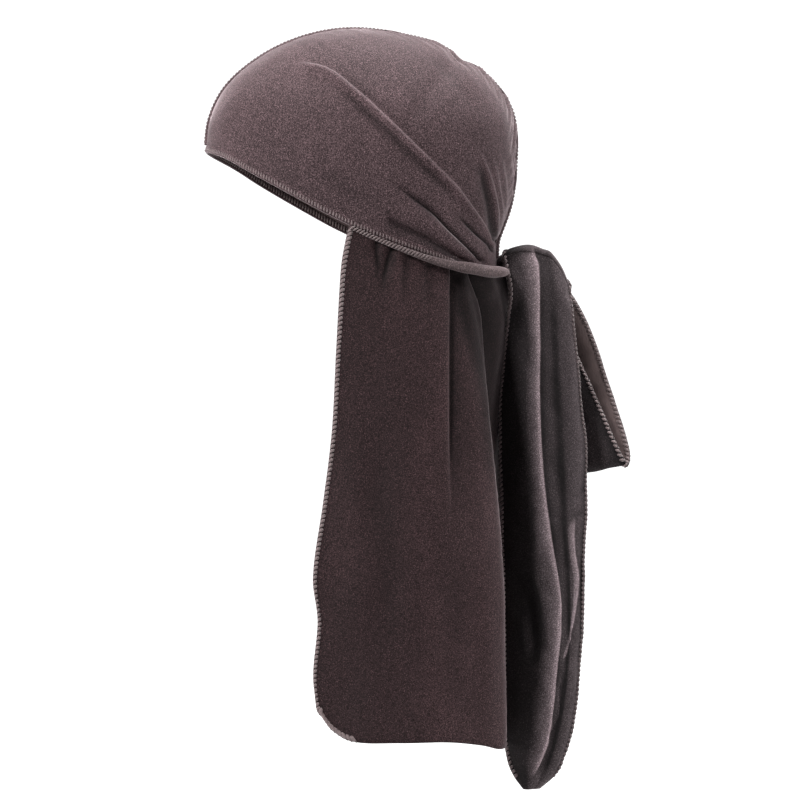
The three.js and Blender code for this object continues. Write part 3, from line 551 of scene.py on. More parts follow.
def profile_point(s, angle, share=1.0):
    """The crown's centre line in the middle plane: an ellipse half the crown's length and height,
    times the profile's reach at an angle in degrees."""
    reach = follow(PROFILE, "reach", angle) * share
    return on_circle(angle) * reach[..., None] * np.array([s.crown_length / 2, s.crown_height / 2])


def on_circle(angle):
    """A point on the circle of radius 1 at an angle in degrees."""
    return np.stack([np.cos(np.radians(angle)), np.sin(np.radians(angle))], axis=-1)


def round_share(s, plane):
    """How far a place in the middle plane is on its way to the profile, to the power that rounds
    the sides."""
    back, up = plane[..., 0] * 2 / s.crown_length, plane[..., 1] * 2 / s.crown_height
    angle = np.degrees(np.arctan2(up, back))
    angle = np.where(angle < PROFILE["angle"][0], angle + 360, angle)
    return (np.hypot(back, up) / follow(PROFILE, "reach", angle)) ** s.side_roundness


def inner_side(s):
    """Where the crown's edge lies beside the centre seam."""
    return s.seam_width / 2 + s.gap


def on_head(s, plane, lift=0.0):
    """A point on the left side of the head over a place in the middle plane, and the direction out
    of the head there. Half the width is that of the ears times the root of 1 - round_share; the
    direction is the slope of (side / width)^2 + round_share. The point is lifted along it."""
    width = s.crown_width / 2 - inner_side(s)
    over = np.sqrt(1 - np.minimum(1, round_share(s, plane)))
    point = np.stack([inner_side(s) + width * over, plane[..., 0], plane[..., 1]], axis=-1)
    step = 0.0005
    slope = [
        (round_share(s, plane + shift) - round_share(s, plane - shift)) / (2 * step)
        for shift in (np.array([step, 0]), np.array([0, step]))
    ]
    out = unit(np.stack([2 * over / width, *slope], axis=-1))
    return point + out * np.asarray(lift)[..., None], out


def nape_point(s):
    """The hem's end at the nape, in the middle plane."""
    return profile_point(s, np.degrees(s.nape_angle))


def hem_way(s):
    """The straight way from the hem's end at the nape to the one at the forehead."""
    return profile_point(s, np.degrees(s.front_angle)) - nape_point(s)


def hem_down(s):
    """The direction square to the hem's straight way, down and away from the head."""
    line = hem_way(s)
    return unit(np.array([-line[1], line[0]]))


def hem_line(s, along):
    """The hem in the middle plane, 0 at the nape and 1 at the forehead: a straight line that dips
    by the table."""
    along = np.asarray(along)
    dip = s.hem_sag * follow(HEM_DIP, "dip", along)
    return nape_point(s) + along[..., None] * hem_way(s) + dip[..., None] * hem_down(s)


def strip_height(s, along):
    """The height of the hem strip at a place on the hem line: it runs out behind the ear."""
    return s.hem_height * ease(along, 0.05, 0.25)


def edge_lift(s, along):
    """How far the crown's edge stays over the hem line."""
    return np.maximum(strip_height(s, along), s.band_tuck * (1 - ease(along, 0.05, 0.3)))


def fan_angles(s, ray):
    """A ray's ends on the profile in degrees: in the nape gather and on the centre seam."""
    corner = np.degrees(s.front_angle) - np.degrees((s.hem_height + 2 * s.gap) * 2 / s.crown_length)
    return (
        blend(np.degrees(s.nape_angle), np.degrees(s.gather_top_angle), ray),
        blend(corner, np.degrees(s.seam_low_angle), ray),
    )


def crown_place(s, ray, share):
    """The fan of rays from the nape gather to the centre seam, in the middle plane. Each is a
    straight line that bows up by bow x 4 x share x (1 - share); the first follows the hem, and the
    last ones hug the profile."""
    low, high = fan_angles(s, ray)
    start, end = profile_point(s, low), profile_point(s, high)
    line = end - start
    length = np.linalg.norm(line, axis=-1)
    up = unit(np.stack([line[..., 1], -line[..., 0]], axis=-1))
    bow = length * follow(RAY_BOW, "bow", ray) * 4 * share * (1 - share)
    hem = edge_lift(s, share) - edge_lift(s, 1.0) * share
    hem = hem - s.hem_sag * follow(HEM_DIP, "dip", share)
    place = start + line * share[..., None] + up * blend(hem, bow, ease(ray, 0, 0.22))[..., None]
    chord = blend(on_circle(low), on_circle(high), share[..., None])
    angle = np.degrees(np.arctan2(chord[..., 1], chord[..., 0]))
    hug = profile_point(s, angle, blend(np.linalg.norm(chord, axis=-1), 1, ease(ray, 0.9, 1)))
    return blend(place, hug, ease(ray, 0.5, 0.9)[..., None])


def smooth_path(path, count=28):
    """A path through its points, evenly cut: each coordinate is followed by the length walked."""
    walked = np.concatenate([[0], np.cumsum(np.linalg.norm(np.diff(path, axis=0), axis=1))])
    rows = {"walked": walked, "back": path[:, 0], "up": path[:, 1]}
    at = np.linspace(0, walked[-1], count)
    return np.stack([follow(rows, "back", at), follow(rows, "up", at)], axis=1)


def crease_lift(plane, crease, shift=0.0):
    """The lift of one fold at places in the middle plane. With the distance d from its path, plus
    on its left, it is minus depth x e^-(d / width)^2. With a spread it is step x e^-(d / spread) on
    the left and minus depth x e^(d / width) on the right, joined by a steep S-curve. Beside the
    lift comes the painted shade of each place, by how hidden from the light it is: the fold's own
    share times its darkness, minus a painted highlight of half of e^-(d / spread) and half of
    e^-(5 d / spread) on the left, along the crest."""
    path = smooth_path(crease["path"] + shift)
    a, b = path[:-1], path[1:]
    run = b - a
    best = np.full(plane.shape[:-1], np.inf)
    signed, along = np.zeros_like(best), np.zeros_like(best)
    for i in range(len(run)):
        away = plane - a[i]
        t = np.clip((away @ run[i]) / (run[i] @ run[i]), 0, 1)
        off = away - t[..., None] * run[i]
        distance = np.hypot(off[..., 0], off[..., 1])
        nearer = distance < best
        best = np.where(nearer, distance, best)
        side = np.sign(run[i][0] * off[..., 1] - run[i][1] * off[..., 0])
        signed = np.where(nearer, distance * side, signed)
        along = np.where(nearer, (i + t) / len(run), along)
    depth, width, spread = crease["depth"], crease["width"], crease["spread"]
    fade = ease(along, 0, crease["start"]) * (1 - ease(along, 1 - crease["end"], 1))
    # Painted shade: how dark the fold's hollow is painted.
    hidden = fade * np.clip(FOLD_SHADE_DARKNESS * depth / min(width, FOLD_SHADE_WIDTH), 0, 1)
    if spread == 0:
        share = np.exp(-((signed / width) ** 2))
        return -depth * share * fade, share * hidden
    above = s_curve(signed / CREASE_ROLL)
    beside = np.maximum(signed, 0) / spread
    crest = crease["step"] * np.exp(-beside)
    share = np.exp(np.minimum(signed, 0) / width) * (1 - above)
    # Painted highlight along the crest, on its left.
    brushed = (np.exp(-beside) + np.exp(-5 * beside)) / 2 * s_curve(signed / CREASE_ROLL + 1.5)
    return (crest * above - depth * share) * fade, share * hidden - brushed * fade


def crease_lifts(plane, table, seed=0):
    """The lift of all folds of a table, and the painted shade of how deep in a hollow each place is,
    below 0 for a highlight painted on a crest. With a seed, each fold is shifted by up to 3 mm and a
    little deeper or shallower, so that the far side isn't a copy of the near one."""
    dice = np.random.default_rng(seed)
    lift, shade_and_gleam = np.zeros(plane.shape[:-1]), np.zeros(plane.shape[:-1])
    for crease in table:
        shift, deeper = 0.0, 1.0
        if seed:
            shift, deeper = dice.uniform(-0.003, 0.003, 2), dice.uniform(0.75, 1.2)
        rise, hidden = crease_lift(plane, crease, shift)
        lift += rise * deeper
        shade_and_gleam = np.where(np.abs(hidden) > np.abs(shade_and_gleam), hidden, shade_and_gleam)
    return lift, shade_and_gleam


def seam_puckers(s, points, ray, share, seed):
    """Slanted waves beside the centre seam, which die out with the distance from it."""
    reach, pitch, start = 0.016, 0.0098, 0.003
    low, high = fan_angles(s, ray)
    away = points[..., 0] - inner_side(s)
    near = np.exp(-((away / reach) ** 2)) * ease(share, 0.5, 0.8)
    arc = np.radians(blend(low, high, ease(share, 0, 1))) * s.crown_length / 2
    phase = 2 * np.pi * (arc + 0.7 * away) / pitch
    wave = np.sin(phase + 2.2 * np.sin(arc * 75 + seed))
    wave += 0.5 * np.sin(0.47 * phase + 60 * away + seed)
    height = 0.001 * follow(SEAM_PUCKER, "height", high)
    return height * near * (0.4 + wave) * ease(away, 0, start)


def crown_grid(s, side, seed, wide=228, long=190):
    """One half of the crown: the fan laid on the head and lifted by its folds, puckers and
    unevenness."""
    ray = np.interp(np.linspace(0, 1, wide), RAY_SPACING["column"], RAY_SPACING["ray"])
    share = (1 - np.cos(np.pi * np.linspace(0, 1, long) ** 0.9)) / 2
    ray, share = np.meshgrid(ray, share, indexing="ij")
    points, out = on_head(s, crown_place(s, ray, share), -s.cloth / 2)
    # Beside the lift comes painted shade in the folds and painted highlights on their crests.
    folds, shade_and_gleam = crease_lifts(points[..., 1:], CROWN_CREASES, 0 if side > 0 else seed)
    lift = folds * ease(ray, 0, 0.06) * ease(1 - ray, 0, 0.03)
    lift += seam_puckers(s, points, ray, share, seed)
    edges = ease(ray, 0, 0.03) * ease(1 - ray, 0, 0.05)
    edges = edges * ease(share, 0, 0.1) * ease(1 - share, 0, 0.03)
    lift += 0.00022 * ripple(points, 0.021, seed) * edges
    lift += 0.0001 * ripple(points, 0.007, seed + 1) * edges
    points = points + out * lift[..., None]
    points[..., 0] = np.maximum(points[..., 0], inner_side(s) - 0.5 * s.gap) * side
    return points[::side], shade_and_gleam[::side]


def centre_seam_rings(s, stations=300):
    """The raised seam as a rounded bar along the profile: rings of width cos and height sin of a
    turn, waved a little along the way where the crown puckers."""
    corner = fan_angles(s, np.array(0.0))[1]
    low = np.degrees(s.nape_angle + (s.band_diameter / 2 + s.gap) * 2 / s.crown_length)
    angle = np.linspace(corner, low, stations)
    line = profile_point(s, angle)
    ahead = unit(np.gradient(line, axis=0))
    out = np.stack([ahead[:, 1], -ahead[:, 0]], axis=-1)
    out *= np.sign((out * line).sum(-1, keepdims=True))
    sway = 0.0006 * np.sin(np.radians(angle) * 11)
    sway = sway * ease(angle, -20, 0) * (1 - ease(angle, 90, 120))
    waved = ease(angle, -10, 10) * (1 - ease(angle, 80, 100))
    rise = s.seam_rise * (1 + 0.25 * np.sin(np.radians(angle) * 23) * waved)
    turn = np.linspace(0, 2 * np.pi, 16, endpoint=False)
    lift = np.where(np.sin(turn) > 0, rise[:, None], s.cloth) * np.sin(turn)
    place = line[:, None] + out[:, None] * lift[..., None]
    across = (s.seam_width / 2 + s.gap) * np.cos(turn)[None] + sway[:, None]
    return np.concatenate([across[..., None], place], axis=-1), line, out, sway


def lofted(name, rings, materials, closed=False):
    """A tube through rings of points."""
    quads, caps = tube_faces(1, rings.shape[0], rings.shape[1], closed)
    points = rings.reshape(-1, 3)
    a, b, c = points[quads[:, 0]], points[quads[:, 1]], points[quads[:, 2]]
    if (a * np.cross(b, c)).sum() + (a * np.cross(c, points[quads[:, 3]])).sum() < 0:
        quads, caps = quads[:, ::-1], caps[:, ::-1]
    return make_piece(name, points, quads, materials, caps=caps)


def hem_grid(s, wide=420, long=12):
    """The front hem's strip on the head from behind one ear over the forehead to behind the
    other."""
    t = np.linspace(-1, 1, wide)
    along = 1 - (1 - s.hem_start) * np.abs(t) ** 1.6
    place = hem_line(s, along)
    up = -hem_down(s)
    rows = np.linspace(-0.08, 1.12, long)
    plane = place[:, None] + up * (strip_height(s, along)[:, None] * rows)[..., None]
    bulge = 0.0004 * np.sin(np.pi * np.clip(rows, 0, 1))
    points = on_head(s, plane, -s.cloth / 2 + 0.0002 + bulge[None] * np.ones((wide, 1)))[0]
    points[..., 0] *= np.clip(t * wide / 2, -1, 1)[:, None]
    return points[::-1]


def band_rings(s, side, stations=220, sides=28):
    """One rolled tie from the ear to the knot: a round section carried along the hem line,
    thickening by the table, with shallow grooves that wind slowly round it. It goes back into the
    knot at one end and lies closer to the crown at the other."""
    into_knot, closer = 0.003, 0.0022
    first = BAND_ROLL["along"][-1]
    along = first * (1 - np.sin(np.linspace(0, np.pi / 2, stations)))
    radius = s.band_diameter / 2 * follow(BAND_ROLL, "thick", along)
    radius *= 0.5 + 0.5 * ease(along, -0.004, 0.03)
    place = hem_line(s, along)
    place[:, 1] -= radius * follow(BAND_ROLL, "hang", along)
    seat, out = on_head(s, place, 0.0)
    middle = seat + out * (radius + s.band_clearance)[:, None]
    middle[:, 0] = np.maximum(middle[:, 0], s.gap / 2)
    middle[:, 1] += into_knot * (1 - ease(along, 0, 0.05))
    middle[:, 0] -= closer * ease(along, 0.18, 0.4)
    run = unit(np.gradient(middle, axis=0))
    out = unit(out - run * (out * run).sum(-1, keepdims=True))
    up = np.cross(out, run)
    turn = np.linspace(0, 2 * np.pi, sides, endpoint=False)
    length = np.linspace(0, 1, stations)[:, None]
    groove = 1 - 0.055 * np.cos(3 * turn[None] + 5 * length) ** 8
    groove = groove - 0.035 * np.cos(2 * turn[None] - 3 * length + 1) ** 6
    size = radius[:, None] * groove * (1 + 0.03 * np.sin(length * 37))
    rings = middle[:, None] + out[:, None] * (size * np.cos(turn))[..., None]
    rings = rings + up[:, None] * (size * np.sin(turn))[..., None]
    rings[..., 0] *= side
    return rings


def flap_place(s, across, down):
    """The neck flap without its pleats. Each stretch hangs from the hem line, lies under its own
    place at the bottom by a third of the way, and its front edge swings forward by the table."""
    read = lambda column: follow(FLAP_PLAN, column, across)
    along = read("along")
    edge = hem_line(s, along)
    tuck = s.band_tuck - s.gap
    edge[..., 1] += tuck * (1 - ease(along, 0.7 * s.hem_start, s.hem_start)) - s.gap
    seat = on_head(s, edge, -s.cloth / 2)[0]
    top = np.stack([seat[..., 0] * read("pinch"), seat[..., 1], seat[..., 2]], axis=-1)
    ear = hem_line(s, FLAP_PLAN["along"][0])
    spread = ease(down, 0, 0.34) * 0.7 + ease(down, 0.1, 0.9) * 0.3
    side = blend(top[..., 0], s.flap_span / 2 * read("side"), spread)
    back = blend(top[..., 1], ear[0] + s.flap_depth * read("back"), spread)
    up = blend(top[..., 2], ear[1] - s.flap_drop * read("length"), down)
    swing = s.flap_flare * follow(FLAP_SWING, "swing", down) * (1 - ease(across, 0, 0.75))
    swell = s.flap_swell * follow(FLAP_SWING, "swell", down) * ease(across, 0.8, 1)
    return np.stack([side, back + swell - swing, up], axis=-1)


def flap_grid(s, wide=389, long=124):
    """The neck flap, both halves in one sheet: its fall, then its folds and unevenness, lifted
    along its normals. The far half stands out further under the knot, more at its top than lower
    down, and its folds are shifted. Its folds are painted in shade with highlights on their crests,
    and the cloth behind the knot is painted darker as the knot's shade."""
    far_top, far_ease, far_low, nape_dark = 0.0095, 0.0045, 0.006, 0.85
    signed = np.linspace(-1, 1, wide)
    down = np.linspace(0, 1, long) ** 1.2
    signed, down = np.meshgrid(signed, down, indexing="ij")
    across = 1 - np.abs(signed)
    points = flap_place(s, across, down)
    far = ease(-signed, -0.05, 0.04) * ease(across, 0.72, 0.94)
    far = far * ease(down, 0, 0.02) * (1 - ease(down, 0.55, 0.8))
    points[..., 1] += far * (far_top - far_ease * ease(down, 0.025, 0.09))
    low = ease(-signed, 0, 0.06) * ease(across, 0.5, 0.76)
    low = low * ease(down, 0.12, 0.35) * (1 - ease(down, 0.75, 0.95))
    points[..., 1] += low * far_low
    points[..., 0] *= np.sign(signed)
    out = grid_normals(points)
    plane = points[..., 1:]
    near_folds, near_shade_and_gleam = crease_lifts(plane, FLAP_CREASES)
    far_folds, far_shade_and_gleam = crease_lifts(plane, FLAP_CREASES, 9)
    share = ease(down, 0, 0.012) * (1 - ease(across, 0.9, 0.99))
    lift = np.where(signed > 0, near_folds, far_folds * (1 - 0.7 * ease(across, 0.6, 0.8))) * share
    shade_and_gleam = np.where(signed > 0, near_shade_and_gleam, far_shade_and_gleam) * share
    # The knot's shadow, painted on the cloth behind it.
    nape_shade = nape_dark * ease(across, 0.6, 0.74) * (1 - ease(down, 0.3, 0.55))
    shade_and_gleam = np.maximum(shade_and_gleam, nape_shade)
    lift += 0.0009 * ripple(points * np.array([1, 1, 0.45]), 0.03, 5) * ease(down, 0.1, 0.6)
    lift += 0.00016 * ripple(points, 0.009, 6) * ease(down, 0.02, 0.1)
    return points + out * lift[..., None], across, shade_and_gleam


def knot_middle(s):
    """The knot lies just behind the rolled ties where they meet."""
    nape = nape_point(s)
    back = nape[0] + s.band_clearance + s.band_diameter + s.gap + s.knot_depth / 2
    return np.array([0.0, back, nape[1] + s.knot_height * 0.05])


def tail_place(s, across, down):
    """The tail at a place across it and a share of its drop: its section from one table, scaled
    between its edges and its ridge from the other."""
    middle = knot_middle(s)
    read = lambda column: follow(TAIL_FALL, column, down)
    back = follow(TAIL_SECTION, "back", across)
    left, ridge, right = read("left"), read("ridge"), read("right")
    share = np.where(back < 1, blend(left, ridge, back), blend(ridge, right, back - 1))
    crest = middle[2] + s.knot_height / 2 + s.cloth + s.gap
    upper = crest - s.tail_drop * follow(TAIL_SECTION, "top", across)
    lean = read("out") + read("fold") * follow(TAIL_SECTION, "side", across)
    lean = lean + read("turn") * (1 - back)
    nape = nape_point(s)
    return np.stack([
        middle[0] + s.tail_fold * lean,
        nape[0] + s.tail_width * share,
        blend(upper, crest - s.tail_drop, down),
    ], axis=-1)


def tail_grid(s, wide=160, long=240, over=30):
    """The tail, which rises out of the knot, turns over a rounded crest and hangs. The crest is
    half a circle to the far side of the place where the fall starts. Behind it the cloth sinks by
    the dip and is drawn together into the knot by the pull."""
    radius, dip, pull_share = 0.0048, 0.012, 0.75
    start = radius / s.tail_drop
    width = np.linspace(0, 1, wide)
    across, down = np.meshgrid(width, np.linspace(start, 1, long) ** 1.05, indexing="ij")
    fall = tail_place(s, across, down)
    across_top, turn = np.meshgrid(width, np.linspace(-1.9, 1, over, endpoint=False), indexing="ij")
    top = tail_place(s, across_top, np.full_like(turn, start))
    bend = np.clip(turn, -1, 1) * np.pi / 2
    sunk = dip * np.minimum(turn + 1, 0)
    top[..., 0] += radius * (np.sin(bend) - 1)
    top[..., 2] += radius * np.cos(bend) + sunk
    middle = knot_middle(s)
    pull = ease(-turn, -0.6, 1.9) * pull_share
    top[..., 1] = blend(top[..., 1], middle[1] + 0.002, pull)
    top[..., 2] = blend(top[..., 2], middle[2] + s.knot_height * 0.42 + sunk, pull)
    grid = np.concatenate([top, fall], axis=1)
    out = grid_normals(grid)
    along = np.concatenate([np.zeros_like(turn), down], axis=1)
    wide_share = np.concatenate([across_top, across], axis=1)
    out *= np.sign(out[:, over:, 0].mean())
    sides = ease(wide_share, 0, 0.04) * (1 - ease(wide_share, 0.96, 1))
    sides = sides * np.concatenate([ease(turn, -1, 0.4), np.ones_like(down)], axis=1)
    # The folds also give painted shade in their hollows and painted highlights on their crests.
    lift, shade_and_gleam = crease_lifts(grid[..., 1:], TAIL_CREASES)
    lift, shade_and_gleam = lift * sides, shade_and_gleam * sides
    lift += 0.0006 * ripple(grid * np.array([1, 1, 0.5]), 0.016, 11) * ease(along, 0.02, 0.2)
    lift += 0.00013 * ripple(grid, 0.007, 12)
    return grid + out * lift[..., None], shade_and_gleam


def loop_grid(s, wide=70, long=300):
    """The bow loop: one strap out of the knot, round its bottom fold and back, between an inner and
    an outer edge from the table, with lengthwise waves that die out at the knot."""
    middle = knot_middle(s)
    along, across = np.meshgrid(np.linspace(0, 1, long), np.linspace(0, 1, wide), indexing="ij")
    read = lambda column: follow(LOOP_PATH, column, along)
    ends = np.minimum(along, 1 - along)
    wave = 0.0014 * np.sin(across * np.pi * 3) * np.sin(np.pi * along)
    wave += 0.0008 * np.sin(across * np.pi * 7 + 2 * along) * np.exp(-((ends / 0.12) ** 2))
    grid = np.stack([
        middle[0] - s.loop_spread * read("out") + wave,
        middle[1] + s.loop_reach * blend(read("inner_back"), read("outer_back"), across),
        middle[2] - s.loop_drop * blend(read("inner_down"), read("outer_down"), across),
    ], axis=-1)
    out = grid_normals(grid)
    lift = 0.0005 * ripple(grid, 0.018, 21) + 0.00015 * ripple(grid, 0.007, 22)
    return grid + out * (lift * ease(ends, 0, 0.06))[..., None]


def wrap_rings(s, tilt, high, deep, wide, half_thick, stations=120, sides=40):
    """A strap wound round the knot: an ellipse in a plane that is tilted about the line front to
    back by an angle in degrees, with a flat oval section whose outside is pleated along the strap.
    Its half height, half depth and half width are shares of the knot's."""
    turn = np.linspace(0, 2 * np.pi, stations, endpoint=False)
    tilt = radians(tilt)
    high, deep = high * s.knot_height, deep * s.knot_depth
    rise = np.array([np.sin(tilt), 0, np.cos(tilt)])
    side = np.array([np.cos(tilt), 0, -np.sin(tilt)])
    back = np.array([0, 1, 0])
    line = knot_middle(s) + high * np.cos(turn)[:, None] * rise
    line = line + deep * np.sin(turn)[:, None] * back
    out = unit(np.cos(turn)[:, None] / high * rise + np.sin(turn)[:, None] / deep * back)
    section = np.linspace(0, 2 * np.pi, sides, endpoint=False)
    swell = 1 + 0.12 * np.sin(2 * turn)[:, None]
    fold = 0.22 * np.cos(3 * np.pi * np.cos(section))[None] * (np.sin(section) > 0)[None]
    over = half_thick * (np.sin(section)[None] + fold * np.sin(section)[None] ** 2)
    half_width = wide * s.knot_width * swell * np.cos(section)[None]
    return line[:, None] + side * half_width[..., None] + out[:, None] * over[..., None]


def cross_rings(s, stations=40, sides=32):
    """The end of the left tie, which comes up from under the right one and goes over it into the
    knot."""
    t = np.linspace(0, 1, stations)
    seat = knot_middle(s) - np.array([0, s.knot_depth * 0.72, 0])
    path = np.stack([follow(CROSS_PATH, name, t) for name in ("side", "back", "up")], axis=1)
    line = seat + 0.001 * path
    run = unit(np.gradient(line, axis=0))
    side = unit(np.cross(run, [0.0, 0.3, 1.0]) + np.array([0.6, 0, 0]))
    side = unit(side - run * (side * run).sum(-1, keepdims=True))
    top = np.cross(side, run)
    turn = np.linspace(0, 2 * np.pi, sides, endpoint=False)
    pleat = 1 + 0.12 * np.cos(5 * turn)
    wide, thick = 0.0062 + 0.0012 * np.sin(np.pi * t), 0.0046
    return (line[:, None] + side[:, None] * (wide[:, None] * np.cos(turn) * pleat)[..., None]
            + top[:, None] * (thick * np.sin(turn) * pleat)[None, :, None])


def knot_core(s, stations=40, sides=40):
    """The cloth inside the wraps: an egg from front to back, pleated round its axis."""
    turn = np.linspace(0.02, np.pi - 0.02, stations)[:, None]
    around = np.linspace(0, 2 * np.pi, sides, endpoint=False)[None]
    pleat = 1 + 0.05 * np.cos(8 * around)
    return knot_middle(s) + np.stack([
        s.knot_width * 0.4 * np.sin(turn) * np.cos(around) * pleat,
        -s.knot_depth * 0.44 * np.cos(turn) * np.ones_like(around),
        s.knot_height * 0.4 * np.sin(turn) * np.sin(around) * pleat,
    ], axis=-1)


def band_row(s, side):
    """The tie's own row of stitches: it lies on the face of the rolled tie from the ear to behind
    it, where the roll closes over it. Beside the row come the ways down and out of the tie."""
    rings = band_rings(s, side)
    middle = rings.mean(axis=1)
    far = int(len(rings) * 0.36)
    out = unit(rings[:, 0] - middle)
    up = unit(rings[:, len(rings[0]) // 4] - middle)
    up *= np.sign(up[:, 2:])
    radius = np.linalg.norm(rings[:, 0] - middle, axis=1, keepdims=True)
    facing = unit(out + 0.5 * up)
    line = middle + facing * radius * 0.85
    return line[:far], np.cross(facing, unit(np.gradient(line, axis=0)))[:far], facing[:far]


def smoothed(rows, times):
    """Directions evened out with their neighbours, a number of times."""
    for _ in range(times):
        rows = np.concatenate([rows[:1], (rows[:-2] + rows[1:-1] + rows[2:]) / 3, rows[-1:]])
    return unit(rows)


def new_material(name, roughness):
    """An empty cloth material: its node tree and its shader."""
    material = bpy.data.materials.new(name)
    material.use_nodes = True
    shader = material.node_tree.nodes["Principled BSDF"]
    shader.inputs["Roughness"].default_value = roughness
    shader.inputs["Specular IOR Level"].default_value = 0.2
    return material, material.node_tree, shader


def noise_of(tree, scale, detail=2.0, stretch=(1, 1, 1), roughness=0.6):
    """A noise on the cloth's own place, in waves per metre."""
    place = tree.nodes.new("ShaderNodeTexCoord")
    mapping = tree.nodes.new("ShaderNodeMapping")
    mapping.inputs["Scale"].default_value = stretch
    noise = tree.nodes.new("ShaderNodeTexNoise")
    noise.inputs["Scale"].default_value = scale
    noise.inputs["Detail"].default_value = detail
    noise.inputs["Roughness"].default_value = roughness
    tree.links.new(place.outputs["Object"], mapping.inputs["Vector"])
    tree.links.new(mapping.outputs["Vector"], noise.inputs["Vector"])
    return noise.outputs["Fac"]


def ramp_of(tree, value, low, high):
    """The value stretched so that low becomes 0 and high 1."""
    ramp = tree.nodes.new("ShaderNodeMapRange")
    ramp.inputs["From Min"].default_value = low
    ramp.inputs["From Max"].default_value = high
    tree.links.new(value, ramp.inputs["Value"])
    return ramp.outputs["Result"]


def mix_of(tree, share, dark, light):
    """A colour between dark and light; either may be a colour or another node's output."""
    mix = tree.nodes.new("ShaderNodeMix")
    mix.data_type = "RGBA"
    tree.links.new(share, mix.inputs["Factor"])
    sockets = [entry for entry in mix.inputs if entry.type == "RGBA"]
    for target, colour in zip(sockets, (dark, light)):
        if isinstance(colour, bpy.types.NodeSocket):
            tree.links.new(colour, target)
        else:
            target.default_value = (*colour, 1)
    return next(entry for entry in mix.outputs if entry.type == "RGBA")


def attribute_of(tree, title):
    """One of the mesh's own attributes."""
    attribute = tree.nodes.new("ShaderNodeAttribute")
    attribute.attribute_name = title
    return attribute.outputs["Fac"]


def shaded(tree, colour, share, low, high):
    """A colour times low where the share is 0, and times high where it is 1."""
    shade = tree.nodes.new("ShaderNodeMix")
    shade.data_type = "RGBA"
    shade.blend_type = "MULTIPLY"
    shade.inputs["Factor"].default_value = 1
    first, second = [entry for entry in shade.inputs if entry.type == "RGBA"]
    tree.links.new(colour, first)
    tree.links.new(mix_of(tree, share, (low,) * 3, (high,) * 3), second)
    return next(entry for entry in shade.outputs if entry.type == "RGBA")


def brighter(colour, times):
    """A colour made lighter or darker, its channels kept to 1 at most."""
    return tuple(min(1, channel * times) for channel in colour)


def bump_of(tree, shader, height, strength, distance):
    """Relief on the shader from a height."""
    bump = tree.nodes.new("ShaderNodeBump")
    bump.inputs["Strength"].default_value = strength
    bump.inputs["Distance"].default_value = distance
    tree.links.new(height, bump.inputs["Height"])
    tree.links.new(bump.outputs["Normal"], shader.inputs["Normal"])


def velvet(name, dark, light, brushed=0.4, sheen=0.5, combed=0.0, gleam=1.3, deep=0.9):
    """Velvet: speckled pile between a dark and a light colour, with bright tips and a sheen towards
    its edges. It is lighter by a given share in random pale patches. It is painted darker by the
    deep share in its folds as shade, and painted gleam times as light along their crests as a
    highlight.
    Cloth that faces away from the light, by the mesh's facing attribute, is painted darker as shade
    by the facing share."""
    material, tree, shader = new_material(name, 0.8)
    speckle = ramp_of(tree, noise_of(tree, 1300, 2.5, roughness=0.8), 0.42, 0.66)
    sparkle = ramp_of(tree, noise_of(tree, 1700, 1.5, roughness=0.7), 0.56, 0.74)
    patch = ramp_of(tree, noise_of(tree, 30, 3, (1, 1, 0.5)), 0.5, 0.68)
    pale = mix_of(tree, patch, light, brighter(light, 1 + brushed))
    ground = mix_of(tree, speckle, dark, pale)
    tips = mix_of(tree, sparkle, ground, brighter(light, 3))
    # Painted shade in the folds, and painted highlights on their crests, from the mesh's attribute.
    shade_and_gleam = attribute_of(tree, "shade_and_gleam")
    # Painted shade on cloth that faces away from the light, by the share given for facing.
    facing_light = ramp_of(tree, attribute_of(tree, "facing_light"), -0.2, 0.8)
    folded = shaded(tree, tips, shade_and_gleam, 1.0, 1 - deep)
    crest = tree.nodes.new("ShaderNodeMath")
    crest.operation = "MULTIPLY"
    crest.inputs[1].default_value = -1
    tree.links.new(shade_and_gleam, crest.inputs[0])
    folded = shaded(tree, folded, ramp_of(tree, crest.outputs[0], 0, 1), 1.0, gleam)
    tree.links.new(shaded(tree, folded, facing_light, 1 - combed, 1.0), shader.inputs["Base Color"])
    shader.inputs["Sheen Weight"].default_value = sheen
    shader.inputs["Sheen Roughness"].default_value = 0.32
    shader.inputs["Sheen Tint"].default_value = (1.0, 0.84, 0.87, 1)
    bump_of(tree, shader, noise_of(tree, 900, 2), 0.4, 0.0005)
    return material


def knit(name, colour):
    """The velvet's smooth knit back: fine lengthwise wales and a slight cloudiness."""
    material, tree, shader = new_material(name, 0.7)
    cloud = ramp_of(tree, noise_of(tree, 90, 3), 0.35, 0.7)
    tree.links.new(mix_of(tree, cloud, brighter(colour, 0.78), colour), shader.inputs["Base Color"])
    shader.inputs["Sheen Weight"].default_value = 0.15
    shader.inputs["Sheen Roughness"].default_value = 0.5
    bump_of(tree, shader, noise_of(tree, 1100, 1, (1, 1, 0.4)), 0.3, 0.0003)
    return material


def thread(name, colour):
    """Overlock thread: fuzzy strands with darker hollows."""
    material, tree, shader = new_material(name, 0.75)
    strand = ramp_of(tree, noise_of(tree, 1500, 2), 0.35, 0.7)
    tree.links.new(mix_of(tree, strand, brighter(colour, 0.5), colour), shader.inputs["Base Color"])
    shader.inputs["Sheen Weight"].default_value = 0.3
    bump_of(tree, shader, noise_of(tree, 2200, 1), 0.4, 0.0003)
    return material


def finish(name, make, *colours, **facts):
    """A material made once and shared."""
    return bpy.data.materials.get(name) or make(name, *colours, **facts)


def crown_velvet(looks):
    """The plain velvet of the crown, the seam and the hem."""
    return finish("velvet_crown", velvet, looks.crown_dark, looks.crown_light)


